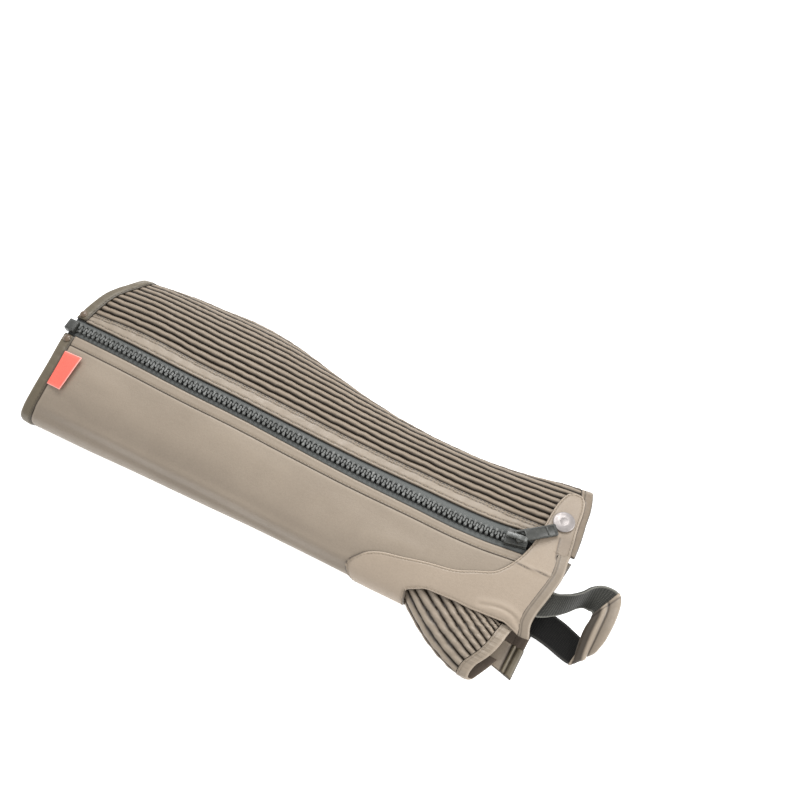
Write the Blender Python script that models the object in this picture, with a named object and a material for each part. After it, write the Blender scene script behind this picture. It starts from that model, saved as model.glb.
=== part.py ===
"""Half chap for the left leg, laid flat with its zip side up.

The leg is worked out as a flattened tube: a section across the leg for each place along
it, and a wrap distance round each section from the zip's centre line, positive towards
the calf. Each piece of leather or cloth is cut from that tube between two seams and two
hems, and its wall is built inwards. The tables are in millimetres: +X runs from the knee
to the ankle, +Y towards the calf and +Z up from the surface that the chap lies on.
"""
import functools
import math
from collections import namedtuple

import bmesh
import bpy
import numpy as np
from mathutils import Matrix, Vector

MM = 0.001

# Place of the outline's middle among the tables' coordinates
MIDDLE_X = 5.24
MIDDLE_Y = 1.89

# Cloth and seams
WALL = 2.0
SEAM_GAP = 0.3
HALF_GAP = SEAM_GAP / 2
HEM_GAP = 0.45
BINDING_WALL = 2.8
BINDING_RISE = 0.7

# Finer pieces follow a bend this closely
COLUMN_WIDTH = 18.0
HEM_COLUMN_WIDTH = 9.0
COLUMN_TURN = math.radians(17.0)

# The leg: its shin and calf edges, the height of its crown and of its widest line
Station = namedtuple("Station", "x shin calf crown fold")
LEG = (
    Station(-235, -59.8, 82.0, 32.0, 10.0),
    Station(-200, -59.4, 83.5, 37.5, 10.0),
    Station(-170, -59.2, 87.0, 41.0, 10.0),
    Station(-130, -58.2, 89.1, 42.0, 10.0),
    Station(-100, -57.8, 90.3, 41.0, 10.0),
    Station(-68, -57.3, 87.1, 39.0, 9.5),
    Station(-30, -56.5, 79.3, 35.0, 9.0),
    Station(20, -56.5, 70.7, 31.0, 8.5),
    Station(70, -57.0, 67.6, 28.5, 8.0),
    Station(120, -57.0, 70.1, 26.5, 8.0),
    Station(160, -57.0, 77.8, 24.5, 8.0),
    Station(195, -57.0, 82.4, 22.5, 8.0),
)
FOLD_SPREAD = 0.45

# Hems, by the angle round the section: 0 calf edge, 90 crown, 180 shin edge
Hem = namedtuple("Hem", "angle x")
KNEE_HEM = (
    Hem(0, -200.5), Hem(22, -203.0), Hem(36, -206.5), Hem(46, -212.0), Hem(55, -216.7),
    Hem(65, -220.0), Hem(75, -222.7), Hem(88, -224.6), Hem(97, -224.4), Hem(114, -223.6),
    Hem(138, -224.6), Hem(155, -225.8), Hem(172, -226.2), Hem(185, -225.0), Hem(203, -221.0),
    Hem(225, -215.5), Hem(247, -211.0), Hem(270, -207.2), Hem(315, -202.8), Hem(360, -200.5),
)
ANKLE_HEM = (
    Hem(0, 182.8), Hem(18, 183.8), Hem(33, 186.0), Hem(45, 187.9), Hem(56, 189.0),
    Hem(66, 190.6), Hem(80, 191.9), Hem(100, 190.0), Hem(130, 187.5), Hem(180, 187.0),
    Hem(300, 186.5), Hem(335, 184.5), Hem(360, 182.8),
)
YOKE_HEM = (
    Hem(50, 186.5), Hem(72, 188.0), Hem(85, 189.2), Hem(96, 190.7), Hem(105, 189.2),
    Hem(115, 187.0), Hem(123, 185.2), Hem(134, 184.9), Hem(142, 187.2), Hem(155, 188.0),
)
KNEE_BINDING = 9.0
ANKLE_BINDING = 8.5
YOKE_BINDING = 8.0

# Lines along the leg
Line = namedtuple("Line", "x y")
Wrap = namedtuple("Wrap", "x wrap")
ZIP_LINE = (
    Line(-230, 16.6), Line(-209, 15.5), Line(-170, 13.3), Line(-120, 11.4), Line(-72, 11.4),
    Line(-33, 11.2), Line(23, 10.8), Line(72, 11.4), Line(111, 11.8), Line(131, 13.2),
    Line(152, 16.0), Line(175, 18.0), Line(195, 18.5),
)
FIRST_PLEAT = (
    Wrap(-230, 16.3), Wrap(-210, 16.5), Wrap(-180, 18.3), Wrap(-100, 18.0), Wrap(0, 19.5),
    Wrap(72, 20.0), Wrap(121, 20.5), Wrap(152, 18.5), Wrap(195, 18.5),
)
INNER_SEAM = (
    Line(-235, 42.0), Line(-208, 45.3), Line(-187, 49.0), Line(-156, 53.5), Line(-115, 54.0),
    Line(-73, 50.6), Line(-53, 46.0), Line(-32, 41.0), Line(-11, 36.5), Line(9, 32.5),
    Line(30, 29.0), Line(61, 26.4), Line(92, 26.2), Line(113, 26.6), Line(134, 28.0),
    Line(154, 31.5), Line(175, 34.5), Line(195, 36.5),
)
BORDER_WIDTH = 27.0

# Zip, by distance from its centre line
ZIP_TAPE_EDGE = 7.0
ZIP_TAPE_WALL = 0.8
ZIP_TAPE_SINK = 1.6
ZIP_FOOT = SEAM_GAP - ZIP_TAPE_SINK
ZIP_TUCK = 3.5
FACING_WIDTH = 8.0
FACING_RISE = 0.1
FACING_WALL = 1.2
CHAIN_HALF = 4.3
CHAIN_TOP = 2.0
CHAIN_START = -216.8
CHAIN_END = 139.6
TAPE_START = 2.0
TAPE_END = 172.0

# Bindings: share of the width, then the heights of the outer and the inner face
KNEE_BINDING_SHAPE = (
    (0.0, -0.6, -1.4), (0.12, 0.55, -2.5), (0.55, 0.7, -2.8), (1.0, 0.1, -2.2),
)
ANKLE_BINDING_SHAPE = (
    (0.0, -0.2, -2.2), (0.4, 0.0, -2.8), (0.85, -0.1, -2.6), (1.0, -0.8, -1.8),
)

# Pleats: equal, straight along the leg, with grooves over a plain inside
PLEATS = 15
PLEAT_PITCH = 5.5
PLEAT_DEPTH = 1.7
PLEAT_WALL = 3.0
PLEAT_SHAPE = ((0.0, 1.0), (0.16, 0.28), (0.5, 0.0), (0.84, 0.28))
BORDER_RIBS = 3
BORDER_RIB_DEPTH = 0.7

# Notch at the front of the ankle, for the gusset
NOTCH_X = 97.0
NOTCH_WIDTH = 4.0
NOTCH_SIDE = 3.5

# Yoke: an overlay round the ankle, with a tab over the calf pleats
YOKE_LIFT = 0.5
YOKE_WALL = 1.4
YOKE_LAP = 5.5
YokeRow = namedtuple("YokeRow", "y left right")
YOKE_ROWS = (
    YokeRow(70.6, 172.5, 177.0), YokeRow(69.3, 168.8, 179.3), YokeRow(66.8, 166.8, 181.0),
    YokeRow(62.5, 165.0, 182.6), YokeRow(56.5, 163.6, 183.8), YokeRow(49.0, 162.8, 184.6),
    YokeRow(40.0, 162.4, 185.8), YokeRow(32.0, 162.2, 187.4), YokeRow(24.0, 161.4, 188.4),
    YokeRow(20.4, 160.9, 189.0), YokeRow(19.8, 160.8, None), YokeRow(13.0, 159.4, None), YokeRow(2.2, 155.5, None), YokeRow(-4.7, 151.5, None),
    YokeRow(-12.5, 144.5, None), YokeRow(-17.4, 133.6, None), YokeRow(-23.3, 120.7, None),
    YokeRow(-27.2, 101.0, None), YokeRow(-32.0, 81.0, None), YokeRow(-35.7, 65.0, None),
    YokeRow(-39.5, 57.0, None),
)
YOKE_FRONT = (
    Line(45, -44.5), Line(80, -45.0), Line(97, -45.4), Line(110, -44.6), Line(122, -43.9),
    Line(133, -43.2), Line(145, -43.4), Line(156, -42.3), Line(167, -41.4), Line(173, -43.5),
    Line(179, -45.0), Line(185, -44.8), Line(195, -42.0),
)
YokeWrap = namedtuple("YokeWrap", "share left")
YOKE_WRAP = (
    YokeWrap(0.0, 51.5), YokeWrap(0.25, 46.5), YokeWrap(0.5, 48.5), YokeWrap(0.75, 54.0),
    YokeWrap(1.0, 64.0),
)
YOKE_WRAP_X = 72.0
YOKE_CORNER_X = 98.5
YOKE_FRONT_ANGLE = 142.0
YOKE_UNDER_Y = -53.5
YOKE_BAND_TOP = 19.4
YOKE_BAND_SHAPE = (
    (0.0, 1.9, 0.5), (0.3, 2.5, 0.5), (0.8, 2.4, 0.5), (1.0, 1.4, 0.5),
)

# The inner side's front corner, flat on the surface
CORNER_SEAM = (
    Line(97, -52.0), Line(104, -50.0), Line(112, -46.5), Line(123, -45.2), Line(154, -46.0),
    Line(190, -50.0),
)
CORNER_FRONT = (
    Line(104, -54.0), Line(125, -59.0), Line(140, -61.5), Line(155, -64.5),
    Line(170, -68.0), Line(190, -73.0),
)
CORNER_START = 105.0
CORNER_END = 187.5
CORNER_BAND = 9.0
CORNER_GAP = 0.6

# Gusset: a fan of pleats from under the yoke, folded over to the corner piece
Rib = namedtuple("Rib", "start_x start_y start_z end_x end_y end_z bow")
GUSSET_RIBS = (
    Rib(155.0, -40.4, 18.0, 165.2, -42.2, 16.8, 0.0),
    Rib(154.7, -40.6, 18.0, 164.7, -45.0, 17.0, 0.0),
    Rib(146.2, -39.9, 18.4, 163.8, -48.8, 17.4, 0.0),
    Rib(138.4, -40.5, 18.7, 163.2, -53.3, 18.0, 0.2),
    Rib(131.0, -40.2, 18.7, 162.0, -58.5, 17.3, 0.5),
    Rib(122.8, -40.9, 18.4, 160.3, -63.6, 16.4, 0.9),
    Rib(113.8, -41.8, 17.9, 158.3, -67.9, 15.4, 1.3),
    Rib(107.4, -42.8, 17.2, 155.8, -72.0, 14.0, 1.9),
    Rib(103.6, -43.8, 15.8, 152.8, -76.6, 12.0, 2.8),
    Rib(101.4, -47.0, 13.2, 151.2, -82.4, 9.4, 4.0),
    Rib(100.4, -51.6, 8.8, 151.6, -86.2, 5.6, 5.0),
    Rib(101.0, -53.8, 5.0, 154.0, -84.6, 1.9, 5.0),
    Rib(104.0, -54.4, 3.2, 157.0, -79.0, 1.6, 4.0),
    Rib(109.0, -53.6, 3.0, 161.0, -71.5, 3.0, 2.0),
    Rib(114.0, -53.2, 3.0, 164.4, -64.0, 3.1, 0.0),
)
GUSSET_ROWS = 6
GUSSET_DEPTH = 1.3
GUSSET_WALL = 2.4
GUSSET_HEM = 9.0
GUSSET_GAP = 0.9
GUSSET_HEM_SHAPE = ((0.0, 0.3, -0.3), (-2.4, -2.4, -1.6))

# Strap: both edges of an elastic band that loops under the foot, and its leather sleeve
Edge = namedtuple("Edge", "far_x far_y far_z near_x near_y near_z")
STRAP = (
    Edge(160.0, -6.0, 20.5, 158.0, -28.0, 18.0),
    Edge(176.0, -6.0, 20.0, 172.0, -28.2, 17.3),
    Edge(190.5, -5.2, 18.8, 184.8, -26.5, 14.4),
    Edge(197.2, -3.4, 21.0, 195.2, -18.2, 8.0),
    Edge(202.6, -1.3, 23.6, 202.4, -10.4, 4.6),
    Edge(207.8, 2.8, 24.8, 207.2, -4.6, 4.4),
    Edge(212.0, 9.0, 23.6, 211.8, -2.4, 6.0),
    Edge(217.2, 14.0, 20.6, 216.4, -3.4, 8.8),
    Edge(223.8, 16.4, 18.0, 218.6, -4.0, 10.8),
    Edge(230.3, 15.6, 17.0, 220.0, -6.4, 12.0),
    Edge(234.4, 9.6, 17.0, 219.9, -10.6, 12.0),
    Edge(236.0, -1.4, 17.2, 219.2, -16.0, 10.4),
    Edge(236.0, -12.4, 16.6, 219.4, -23.8, 8.4),
    Edge(235.0, -22.6, 13.6, 220.4, -32.4, 6.2),
    Edge(232.0, -28.4, 8.4, 221.8, -39.6, 4.0),
    Edge(226.6, -27.6, 4.2, 221.2, -42.4, 2.0),
    Edge(219.8, -22.2, 2.2, 217.4, -43.0, 1.2),
    Edge(213.2, -19.6, 1.6, 210.2, -41.6, 1.2),
    Edge(205.8, -17.2, 1.4, 202.2, -39.4, 1.4),
    Edge(198.2, -15.8, 2.2, 194.6, -38.0, 2.2),
    Edge(190.0, -15.2, 3.7, 187.6, -37.6, 3.7),
    Edge(176.0, -15.0, 3.75, 174.0, -37.6, 3.75),
    Edge(160.0, -15.0, 3.4, 158.0, -37.6, 3.4),
)
STRAP_WALL = 1.5
SLEEVE_WALL = 3.4
SLEEVE_FROM = 9.0
SLEEVE_TO = 15.6
STRAP_GAPS = (0.22, 0.1)
SLEEVE_SPREAD = 0.6

# Hard pieces
SNAP_X = 174.0
SNAP_Y = 43.5
SNAP_PROFILE = ((8.0, 0.0), (8.0, 0.7), (7.5, 1.5), (6.0, 2.1), (3.5, 2.4), (0.0, 2.5))
RIVET_PROFILE = ((2.9, 0.0), (2.9, 0.5), (2.3, 1.2), (1.2, 1.6), (0.0, 1.7))
RIVET_BACK_PROFILE = ((3.6, 0.0), (3.6, 0.5), (2.8, 0.9), (0.0, 0.9))
RIVET_INSET = 5.2
RIVET_OFF_ZIP = 11.6
ZIP_BOX = (8.6, 9.0, 5.2)
ZIP_BOX_X = -221.6
SLIDER_X = 148.6
SLIDER_LENGTH = 17.0
SLIDER_WIDTHS = (12.0, 9.0)
SLIDER_HEIGHT = 5.6
PULL_YAW = math.radians(33.0)
PULL_PITCH = math.radians(6.5)
PULL_LENGTH = 27.5
PULL_WIDTH = 9.0
PULL_THICKNESS = 1.8
PULL_NECK = 4.4
PIN_RADIUS = 1.1
PIN_HEIGHT = 2.7
PIN_CLEARANCE = 0.08
EYE_RADIUS = 2.3
LUG_THICKNESS = 1.3
LUG_LENGTH = 4.4
LABEL_WRAPS = (-21.0, -49.0)
LABEL_REACH = (15.5, 11.5)
LABEL_WALL = 0.9
LABEL_LIFT = 2.6

# Finishes: colour, roughness, metallic
FINISHES = {
    "taupe_leather": ((0.200, 0.155, 0.112), 0.42, 0.0),
    "dark_binding": ((0.115, 0.088, 0.058), 0.48, 0.0),
    "zip_tape": ((0.085, 0.098, 0.096), 0.80, 0.0),
    "black_plastic": ((0.030, 0.033, 0.033), 0.38, 0.0),
    "elastic": ((0.030, 0.031, 0.029), 0.85, 0.0),
    "nickel": ((0.72, 0.69, 0.66), 0.28, 1.0),
    "coral_label": ((0.86, 0.15, 0.11), 0.60, 0.0),
}


def clear_scene():
    """Take every object out of the scene."""
    for item in list(bpy.data.objects):
        bpy.data.objects.remove(item, do_unlink=True)


def finish(name):
    """Material with the named colour, roughness and metallic value."""
    material = bpy.data.materials.get(name)
    if material is None:
        colour, roughness, metallic = FINISHES[name]
        material = bpy.data.materials.new(name)
        material.use_nodes = True
        shader = material.node_tree.nodes["Principled BSDF"]
        shader.inputs["Base Color"].default_value = (*colour, 1.0)
        shader.inputs["Roughness"].default_value = roughness
        shader.inputs["Metallic"].default_value = metallic
        material.diffuse_color = (*colour, 1.0)
    return material


def smooth(table, field, at):
    """Value of one column of a table at a place, on a smooth curve through its rows."""
    keys = np.array([row[0] for row in table], float)
    values = np.array([getattr(row, field) for row in table], float)
    slopes = np.gradient(values, keys)
    at = np.clip(at, keys[0], keys[-1])
    low = np.clip(np.searchsorted(keys, at) - 1, 0, len(keys) - 2)
    span = keys[low + 1] - keys[low]
    u = (at - keys[low]) / span
    return (
        values[low] * (1 + 2 * u) * (1 - u) ** 2
        + values[low + 1] * u * u * (3 - 2 * u)
        + slopes[low] * span * u * (1 - u) ** 2
        + slopes[low + 1] * span * u * u * (u - 1)
    )


class Section:
    """One cut across the leg: its outline, its outward normals and distances round it."""

    DEGREES = np.arange(-280.0, 461.0)

    def __init__(self, x):
        shin, calf = smooth(LEG, "shin", x), smooth(LEG, "calf", x)
        crown, fold = smooth(LEG, "crown", x), smooth(LEG, "fold", x)
        angle = np.radians(self.DEGREES)
        cosine, sine = np.cos(angle), np.sin(angle)
        self.centre, self.half = (calf + shin) / 2, (calf - shin) / 2
        self.y = self.centre + self.half * cosine
        under = np.clip(-sine / FOLD_SPREAD, 0.0, 1.0)
        self.z = np.where(
            sine >= 0, fold + (crown - fold) * sine, fold * (1 - np.sin(under * math.pi / 2))
        )
        across, up = np.gradient(self.y), np.gradient(self.z)
        steepness = np.hypot(across, up)
        self.normal_y, self.normal_z = up / steepness, -across / steepness
        steps = np.hypot(np.diff(self.y), np.diff(self.z))
        around = np.concatenate([[0.0], np.cumsum(steps)])
        zip_angle = math.degrees(math.acos((smooth(ZIP_LINE, "y", x) - self.centre) / self.half))
        self.around = around - np.interp(zip_angle, self.DEGREES, around)
        self.girth = float(np.interp(360.0, self.DEGREES, around) - np.interp(0.0, self.DEGREES, around))

    def read(self, values, wrap):
        """Value at a wrap distance of something known at each angle."""
        return float(np.interp(-wrap, self.around, values))

    def angle(self, wrap):
        """Angle round the section at a wrap distance, in degrees."""
        return self.read(self.DEGREES, wrap)

    def wrap_at(self, degrees):
        """Wrap distance at an angle."""
        return -float(np.interp(degrees, self.DEGREES, self.around))

    def wrap_on_top(self, y):
        """Wrap distance of the point of the upper side at y."""
        return self.wrap_at(math.degrees(math.acos((y - self.centre) / self.half)))

    def wrap_under(self, y, by_shin):
        """Wrap distance of the point of the underside at y, counted round either edge."""
        angle = math.degrees(math.acos((y - self.centre) / self.half))
        return self.wrap_at(360.0 - angle if by_shin else -angle)


@functools.lru_cache(maxsize=None)
def section_near(x_hundredths):
    return Section(x_hundredths / 100.0)


def section(x):
    """Section at x, to the nearest hundredth of a millimetre."""
    return section_near(int(round(x * 100)))


def on_leg(x, wrap, out=0.0):
    """Point on the leg's outer face, moved outwards and kept off the ground below."""
    cut = section(x)
    y = cut.read(cut.y, wrap) + out * cut.read(cut.normal_y, wrap)
    z = cut.read(cut.z, wrap) + out * cut.read(cut.normal_z, wrap)
    return np.array([x, y, max(z, 0.0)])


def knee_edge(angle):
    return float(smooth(KNEE_HEM, "x", angle % 360.0))


def knee_seam(angle):
    return knee_edge(angle) + KNEE_BINDING


def ankle_edge(angle):
    return float(smooth(ANKLE_HEM, "x", angle % 360.0))


def ankle_seam(angle):
    return ankle_edge(angle) - ANKLE_BINDING


def yoke_edge(angle):
    return float(smooth(YOKE_HEM, "x", angle))


def yoke_seam(angle):
    return yoke_edge(angle) - YOKE_BINDING


def notch_rows(before, after):
    """Row fractions along the leg, with one row just at the notch and one at its side."""
    start, end = knee_seam(180.0), ankle_seam(180.0)
    at_notch = (NOTCH_X - start) / (end - start)
    side = at_notch + NOTCH_SIDE / (end - start)
    return np.concatenate([np.linspace(0, at_notch, before), np.linspace(side, 1, after)])


NOTCH_ROW = 16
LONG_ROWS = notch_rows(NOTCH_ROW + 1, 6)


def bend_columns(x, first, last, width=COLUMN_WIDTH):
    """Fractions between two wrap distances, closer together where the section bends."""
    wraps = np.linspace(first, last, 240)
    cut = section(x)
    turn = np.unwrap([math.atan2(cut.read(cut.normal_z, w), cut.read(cut.normal_y, w)) for w in wraps])
    cost = np.abs(np.diff(wraps)) / width + np.abs(np.diff(turn)) / COLUMN_TURN
    total = np.concatenate([[0.0], np.cumsum(cost)])
    count = max(1, math.ceil(total[-1]))
    places = np.interp(np.linspace(0, total[-1], count + 1), total, wraps)
    return (places - first) / (last - first)


def places(first_wrap, last_wrap, columns, rows, start_x, end_x):
    """Grid of (x, wrap) places between two seams and two hems.

    The seams give a wrap distance for x, and the hems give x for an angle, so each
    place is found by going back and forth a few times.
    """
    grid = np.zeros((len(rows), len(columns), 2))
    for j, row in enumerate(rows):
        for i, column in enumerate(columns):
            x = start_x(90.0) + row * (end_x(90.0) - start_x(90.0))
            for _ in range(5):
                wrap = first_wrap(x) + column * (last_wrap(x) - first_wrap(x))
                angle = section(x).angle(wrap)
                x = start_x(angle) + row * (end_x(angle) - start_x(angle))
            grid[j, i] = (x, wrap)
    return grid


def raised(grid, out):
    """Points of a grid of places, moved out by a number or by a grid of numbers."""
    out = np.broadcast_to(out, grid.shape[:2])
    return np.array([[on_leg(*grid[j, i], out[j, i]) for i in range(grid.shape[1])] for j in range(grid.shape[0])])


def new_object(name, mesh, material_name):
    mesh.materials.append(finish(material_name))
    item = bpy.data.objects.new(name, mesh)
    bpy.context.collection.objects.link(item)
    return item


def wall(name, outer, inner, material_name, kept=None, sharp=50.0):
    """Closed wall between two grids of points, over the cells that are kept."""
    rows, columns = outer.shape[:2]
    if kept is None:
        kept = np.ones((rows - 1, columns - 1), bool)
    work = bmesh.new()
    made = {}

    def vertex(side, j, i):
        key = (side, j, i)
        if key not in made:
            made[key] = work.verts.new((outer if side else inner)[j, i] * MM)
        return made[key]

    def cell_kept(j, i):
        return 0 <= j < rows - 1 and 0 <= i < columns - 1 and kept[j, i]

    for j in range(rows - 1):
        for i in range(columns - 1):
            if not kept[j, i]:
                continue
            ring = ((j, i), (j, i + 1), (j + 1, i + 1), (j + 1, i))
            work.faces.new([vertex(True, *corner) for corner in ring])
            work.faces.new([vertex(False, *corner) for corner in reversed(ring)])
            neighbours = ((j - 1, i), (j, i + 1), (j + 1, i), (j, i - 1))
            for k, neighbour in enumerate(neighbours):
                if not cell_kept(*neighbour):
                    a, b = ring[k], ring[(k + 1) % 4]
                    work.faces.new([vertex(True, *b), vertex(True, *a), vertex(False, *a), vertex(False, *b)])
    bmesh.ops.recalc_face_normals(work, faces=work.faces)
    mesh = bpy.data.meshes.new(name)
    work.to_mesh(mesh)
    work.free()
    mesh.shade_smooth()
    mesh.set_sharp_from_angle(angle=math.radians(sharp))
    return new_object(name, mesh, material_name)


def leg_piece(name, grid, material_name, thickness=WALL, out=0.0, kept=None):
    """Wall of one thickness over a grid of places."""
    return wall(name, raised(grid, out), raised(grid, np.asarray(out) - thickness), material_name, kept)


def closed_hull_object(name, vertices, faces, material_name, sharp=35.0):
    """Object from vertices in millimetres and its faces, pointing outwards."""
    mesh = bpy.data.meshes.new(name)
    mesh.from_pydata([tuple(c * MM for c in v) for v in vertices], [], faces)
    work = bmesh.new()
    work.from_mesh(mesh)
    bmesh.ops.recalc_face_normals(work, faces=work.faces)
    work.to_mesh(mesh)
    work.free()
    mesh.shade_smooth()
    mesh.set_sharp_from_angle(angle=math.radians(sharp))
    return new_object(name, mesh, material_name)


def seat_frame(x, wrap, out):
    """Matrix whose +X runs along the leg, +Y round it and +Z outwards, at a place."""
    here = on_leg(x, wrap, out)
    along = Vector(on_leg(x + 4, wrap, out) - on_leg(x - 4, wrap, out)).normalized()
    around = Vector(on_leg(x, wrap + 3, out) - on_leg(x, wrap - 3, out)).normalized()
    up = along.cross(around).normalized()
    around = up.cross(along)
    turn = Matrix((along, around, up)).transposed().to_4x4()
    return Matrix.Translation(Vector(here) * MM) @ turn


def turned(name, profile, place, material_name, sides=32):
    """Solid of revolution about +Z from (radius, height) rows, foot to top."""
    vertices, faces = [], []
    for radius, height in profile[:-1]:
        for k in range(sides):
            angle = 2 * math.pi * k / sides
            vertices.append((radius * math.cos(angle), radius * math.sin(angle), height))
    rings = len(profile) - 1
    top = len(vertices)
    vertices.append((0.0, 0.0, profile[-1][1]))
    faces.append(tuple(reversed(range(sides))))
    for ring in range(rings - 1):
        for k in range(sides):
            a, b = ring * sides + k, ring * sides + (k + 1) % sides
            faces.append((a, b, b + sides, a + sides))
    last = (rings - 1) * sides
    faces.extend((last + k, last + (k + 1) % sides, top) for k in range(sides))
    item = closed_hull_object(name, vertices, faces, material_name)
    item.matrix_world = place
    return item


def block(name, corners_below, height, material_name, bevel=0.0):
    """Prism from corners in its own frame, in millimetres, with bevelled edges."""
    count = len(corners_below)
    vertices = [(x, y, z) for x, y, z in corners_below] + [(x, y, z + height) for x, y, z in corners_below]
    faces = [tuple(reversed(range(count))), tuple(range(count, 2 * count))]
    faces += [(k, (k + 1) % count, (k + 1) % count + count, k + count) for k in range(count)]
    item = closed_hull_object(name, vertices, faces, material_name)
    if bevel:
        edge = item.modifiers.new("Bevel", "BEVEL")
        edge.width = bevel * MM
        edge.segments = 2
        edge.limit_method = "ANGLE"
    return item


def rectangle(length, width, z=0.0, start=0.0):
    """Corners of a rectangle from x = start, centred on y = 0."""
    return (
        (start, -width / 2, z), (start + length, -width / 2, z),
        (start + length, width / 2, z), (start, width / 2, z),
    )


def rod(name, radius, length, sides, material_name):
    """Round bar along +Y, centred on the origin."""
    mesh = bpy.data.meshes.new(name)
    work = bmesh.new()
    bmesh.ops.create_cone(
        work, cap_ends=True, segments=sides, radius1=radius * MM, radius2=radius * MM,
        depth=length * MM, matrix=Matrix.Rotation(math.pi / 2, 4, "X"),
    )
    work.to_mesh(mesh)
    work.free()
    return new_object(name, mesh, material_name)


def combine(item, other, operation):
    """Boolean of two objects, with the second left as a hidden guide."""
    other.hide_render = True
    other.display_type = "WIRE"
    step = item.modifiers.new(operation.title(), "BOOLEAN")
    step.operation = operation
    step.solver = "EXACT"
    step.object = other


def main_panel():
    """The big front panel: from the zip's front seam round the shin to the inner seam."""

    def front(x):
        return -ZIP_TAPE_EDGE - FACING_WIDTH - HALF_GAP

    def upper(x):
        at_fold = section(x).wrap_at(180.0)
        tucked = section(x).wrap_on_top(smooth(YOKE_FRONT, "y", x) + YOKE_LAP)
        return at_fold if x <= NOTCH_X + 1 else tucked

    def lower(x):
        at_fold = section(x).wrap_at(180.0) - NOTCH_WIDTH
        seam = section(x).wrap_under(smooth(CORNER_SEAM, "y", x), True) - HALF_GAP
        return at_fold if x <= NOTCH_X + 1 else seam

    def inner(x):
        return section(x).wrap_under(smooth(INNER_SEAM, "y", x), True) + HALF_GAP

    middle = 0.0
    top = bend_columns(middle, front(middle), upper(middle))
    under = bend_columns(middle, lower(middle), inner(middle))

    upper_grid = places(front, upper, top, LONG_ROWS, panel_start, panel_end)
    lower_grid = places(lower, inner, under, LONG_ROWS, panel_start, panel_end)
    grid = np.concatenate([upper_grid, lower_grid], axis=1)
    kept = np.ones((len(LONG_ROWS) - 1, grid.shape[1] - 1), bool)
    kept[NOTCH_ROW:, len(top) - 1] = False
    return leg_piece("main_panel", grid, "taupe_leather", kept=kept)


def zip_pieces():
    """Facings each side of the zip, the two tapes under them, and the closed chain."""
    facing = ZIP_TAPE_EDGE + FACING_WIDTH - HALF_GAP
    grid = places(
        lambda x: -facing, lambda x: -ZIP_TAPE_EDGE, np.linspace(0, 1, 3), LONG_ROWS,
        panel_start, panel_end,
    )
    leg_piece("zip_facing_front", grid, "taupe_leather", FACING_WALL, FACING_RISE)
    grid = places(
        lambda x: ZIP_TAPE_EDGE, lambda x: first_pleat(x) - HALF_GAP, np.linspace(0, 1, 4),
        LONG_ROWS, panel_start, panel_end,
    )
    leg_piece("zip_facing_rear", grid, "taupe_leather", FACING_WALL, FACING_RISE)

    seam = knee_seam(90.0)
    start = knee_edge(90.0) + TAPE_START
    stations = np.concatenate([[start, seam + 2.8], np.linspace(seam + 4.0, TAPE_END, 18)])
    tape_rows = (stations - start) / (TAPE_END - start)

    def tape_edge(x):
        return np.interp(x, [seam + 2.9, seam + 3.9], [ZIP_TAPE_EDGE, ZIP_TAPE_EDGE + ZIP_TUCK])

    for name, first, last in (
        ("zip_tape_front", lambda x: -tape_edge(x), lambda x: -HALF_GAP),
        ("zip_tape_rear", lambda x: HALF_GAP, tape_edge),
    ):
        grid = places(first, last, np.linspace(0, 1, 3), tape_rows, lambda angle: start, lambda angle: TAPE_END)
        leg_piece(name, grid, "zip_tape", ZIP_TAPE_WALL, -ZIP_TAPE_SINK)

    chain_rows = np.linspace(0, 1, 19)
    grid = places(
        lambda x: -CHAIN_HALF, lambda x: CHAIN_HALF, np.array([0.0, 0.12, 0.88, 1.0]), chain_rows,
        lambda angle: CHAIN_START, lambda angle: CHAIN_END,
    )
    out = np.tile([CHAIN_TOP - 1.0, CHAIN_TOP, CHAIN_TOP, CHAIN_TOP - 1.0], (len(chain_rows), 1))
    wall("zip_chain", raised(grid, out), raised(grid, ZIP_FOOT), "black_plastic")


def first_pleat(x):
    """Wrap distance of the seam between the zip's rear facing and the pleats."""
    return float(smooth(FIRST_PLEAT, "wrap", x))


def border_seam(x):
    """Wrap distance of the seam between the pleats and the ribbed border."""
    return section(x).wrap_under(smooth(INNER_SEAM, "y", x), False) - BORDER_WIDTH


def panel_start(angle):
    return knee_seam(angle) + HEM_GAP


def panel_end(angle):
    return ankle_seam(angle) - HEM_GAP


def ribbed(ribs):
    """Column fractions of a ribbed piece, and how far each is down in a groove."""
    shape = [((k + part) / ribs, depth) for k in range(ribs) for part, depth in PLEAT_SHAPE]
    shape.append((1.0, 1.0))
    return np.array([place for place, _ in shape]), np.array([depth for _, depth in shape])


def stretch_panel():
    """Pleated elastic panel from the zip round the calf, cut off at the border's seam."""
    columns, depth = ribbed(PLEATS)
    grid = places(
        lambda x: first_pleat(x) + HALF_GAP, lambda x: first_pleat(x) + PLEATS * PLEAT_PITCH,
        columns, LONG_ROWS, panel_start, panel_end,
    )
    outer = raised(grid, np.tile(-depth * PLEAT_DEPTH, (len(LONG_ROWS), 1)))
    panel = wall("stretch_panel", outer, raised(grid, -PLEAT_WALL), "taupe_leather")

    stations = np.linspace(-235.0, 200.0, 60)
    seam = [(x, section(x).read(section(x).y, border_seam(x) - HALF_GAP)) for x in stations]
    far = [(x, -40.0) for x in reversed(stations)]
    corners = [(x, y, -6.0) for x, y in seam + far]
    combine(panel, block("border_cutter", corners, 12.5, "taupe_leather"), "DIFFERENCE")


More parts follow.
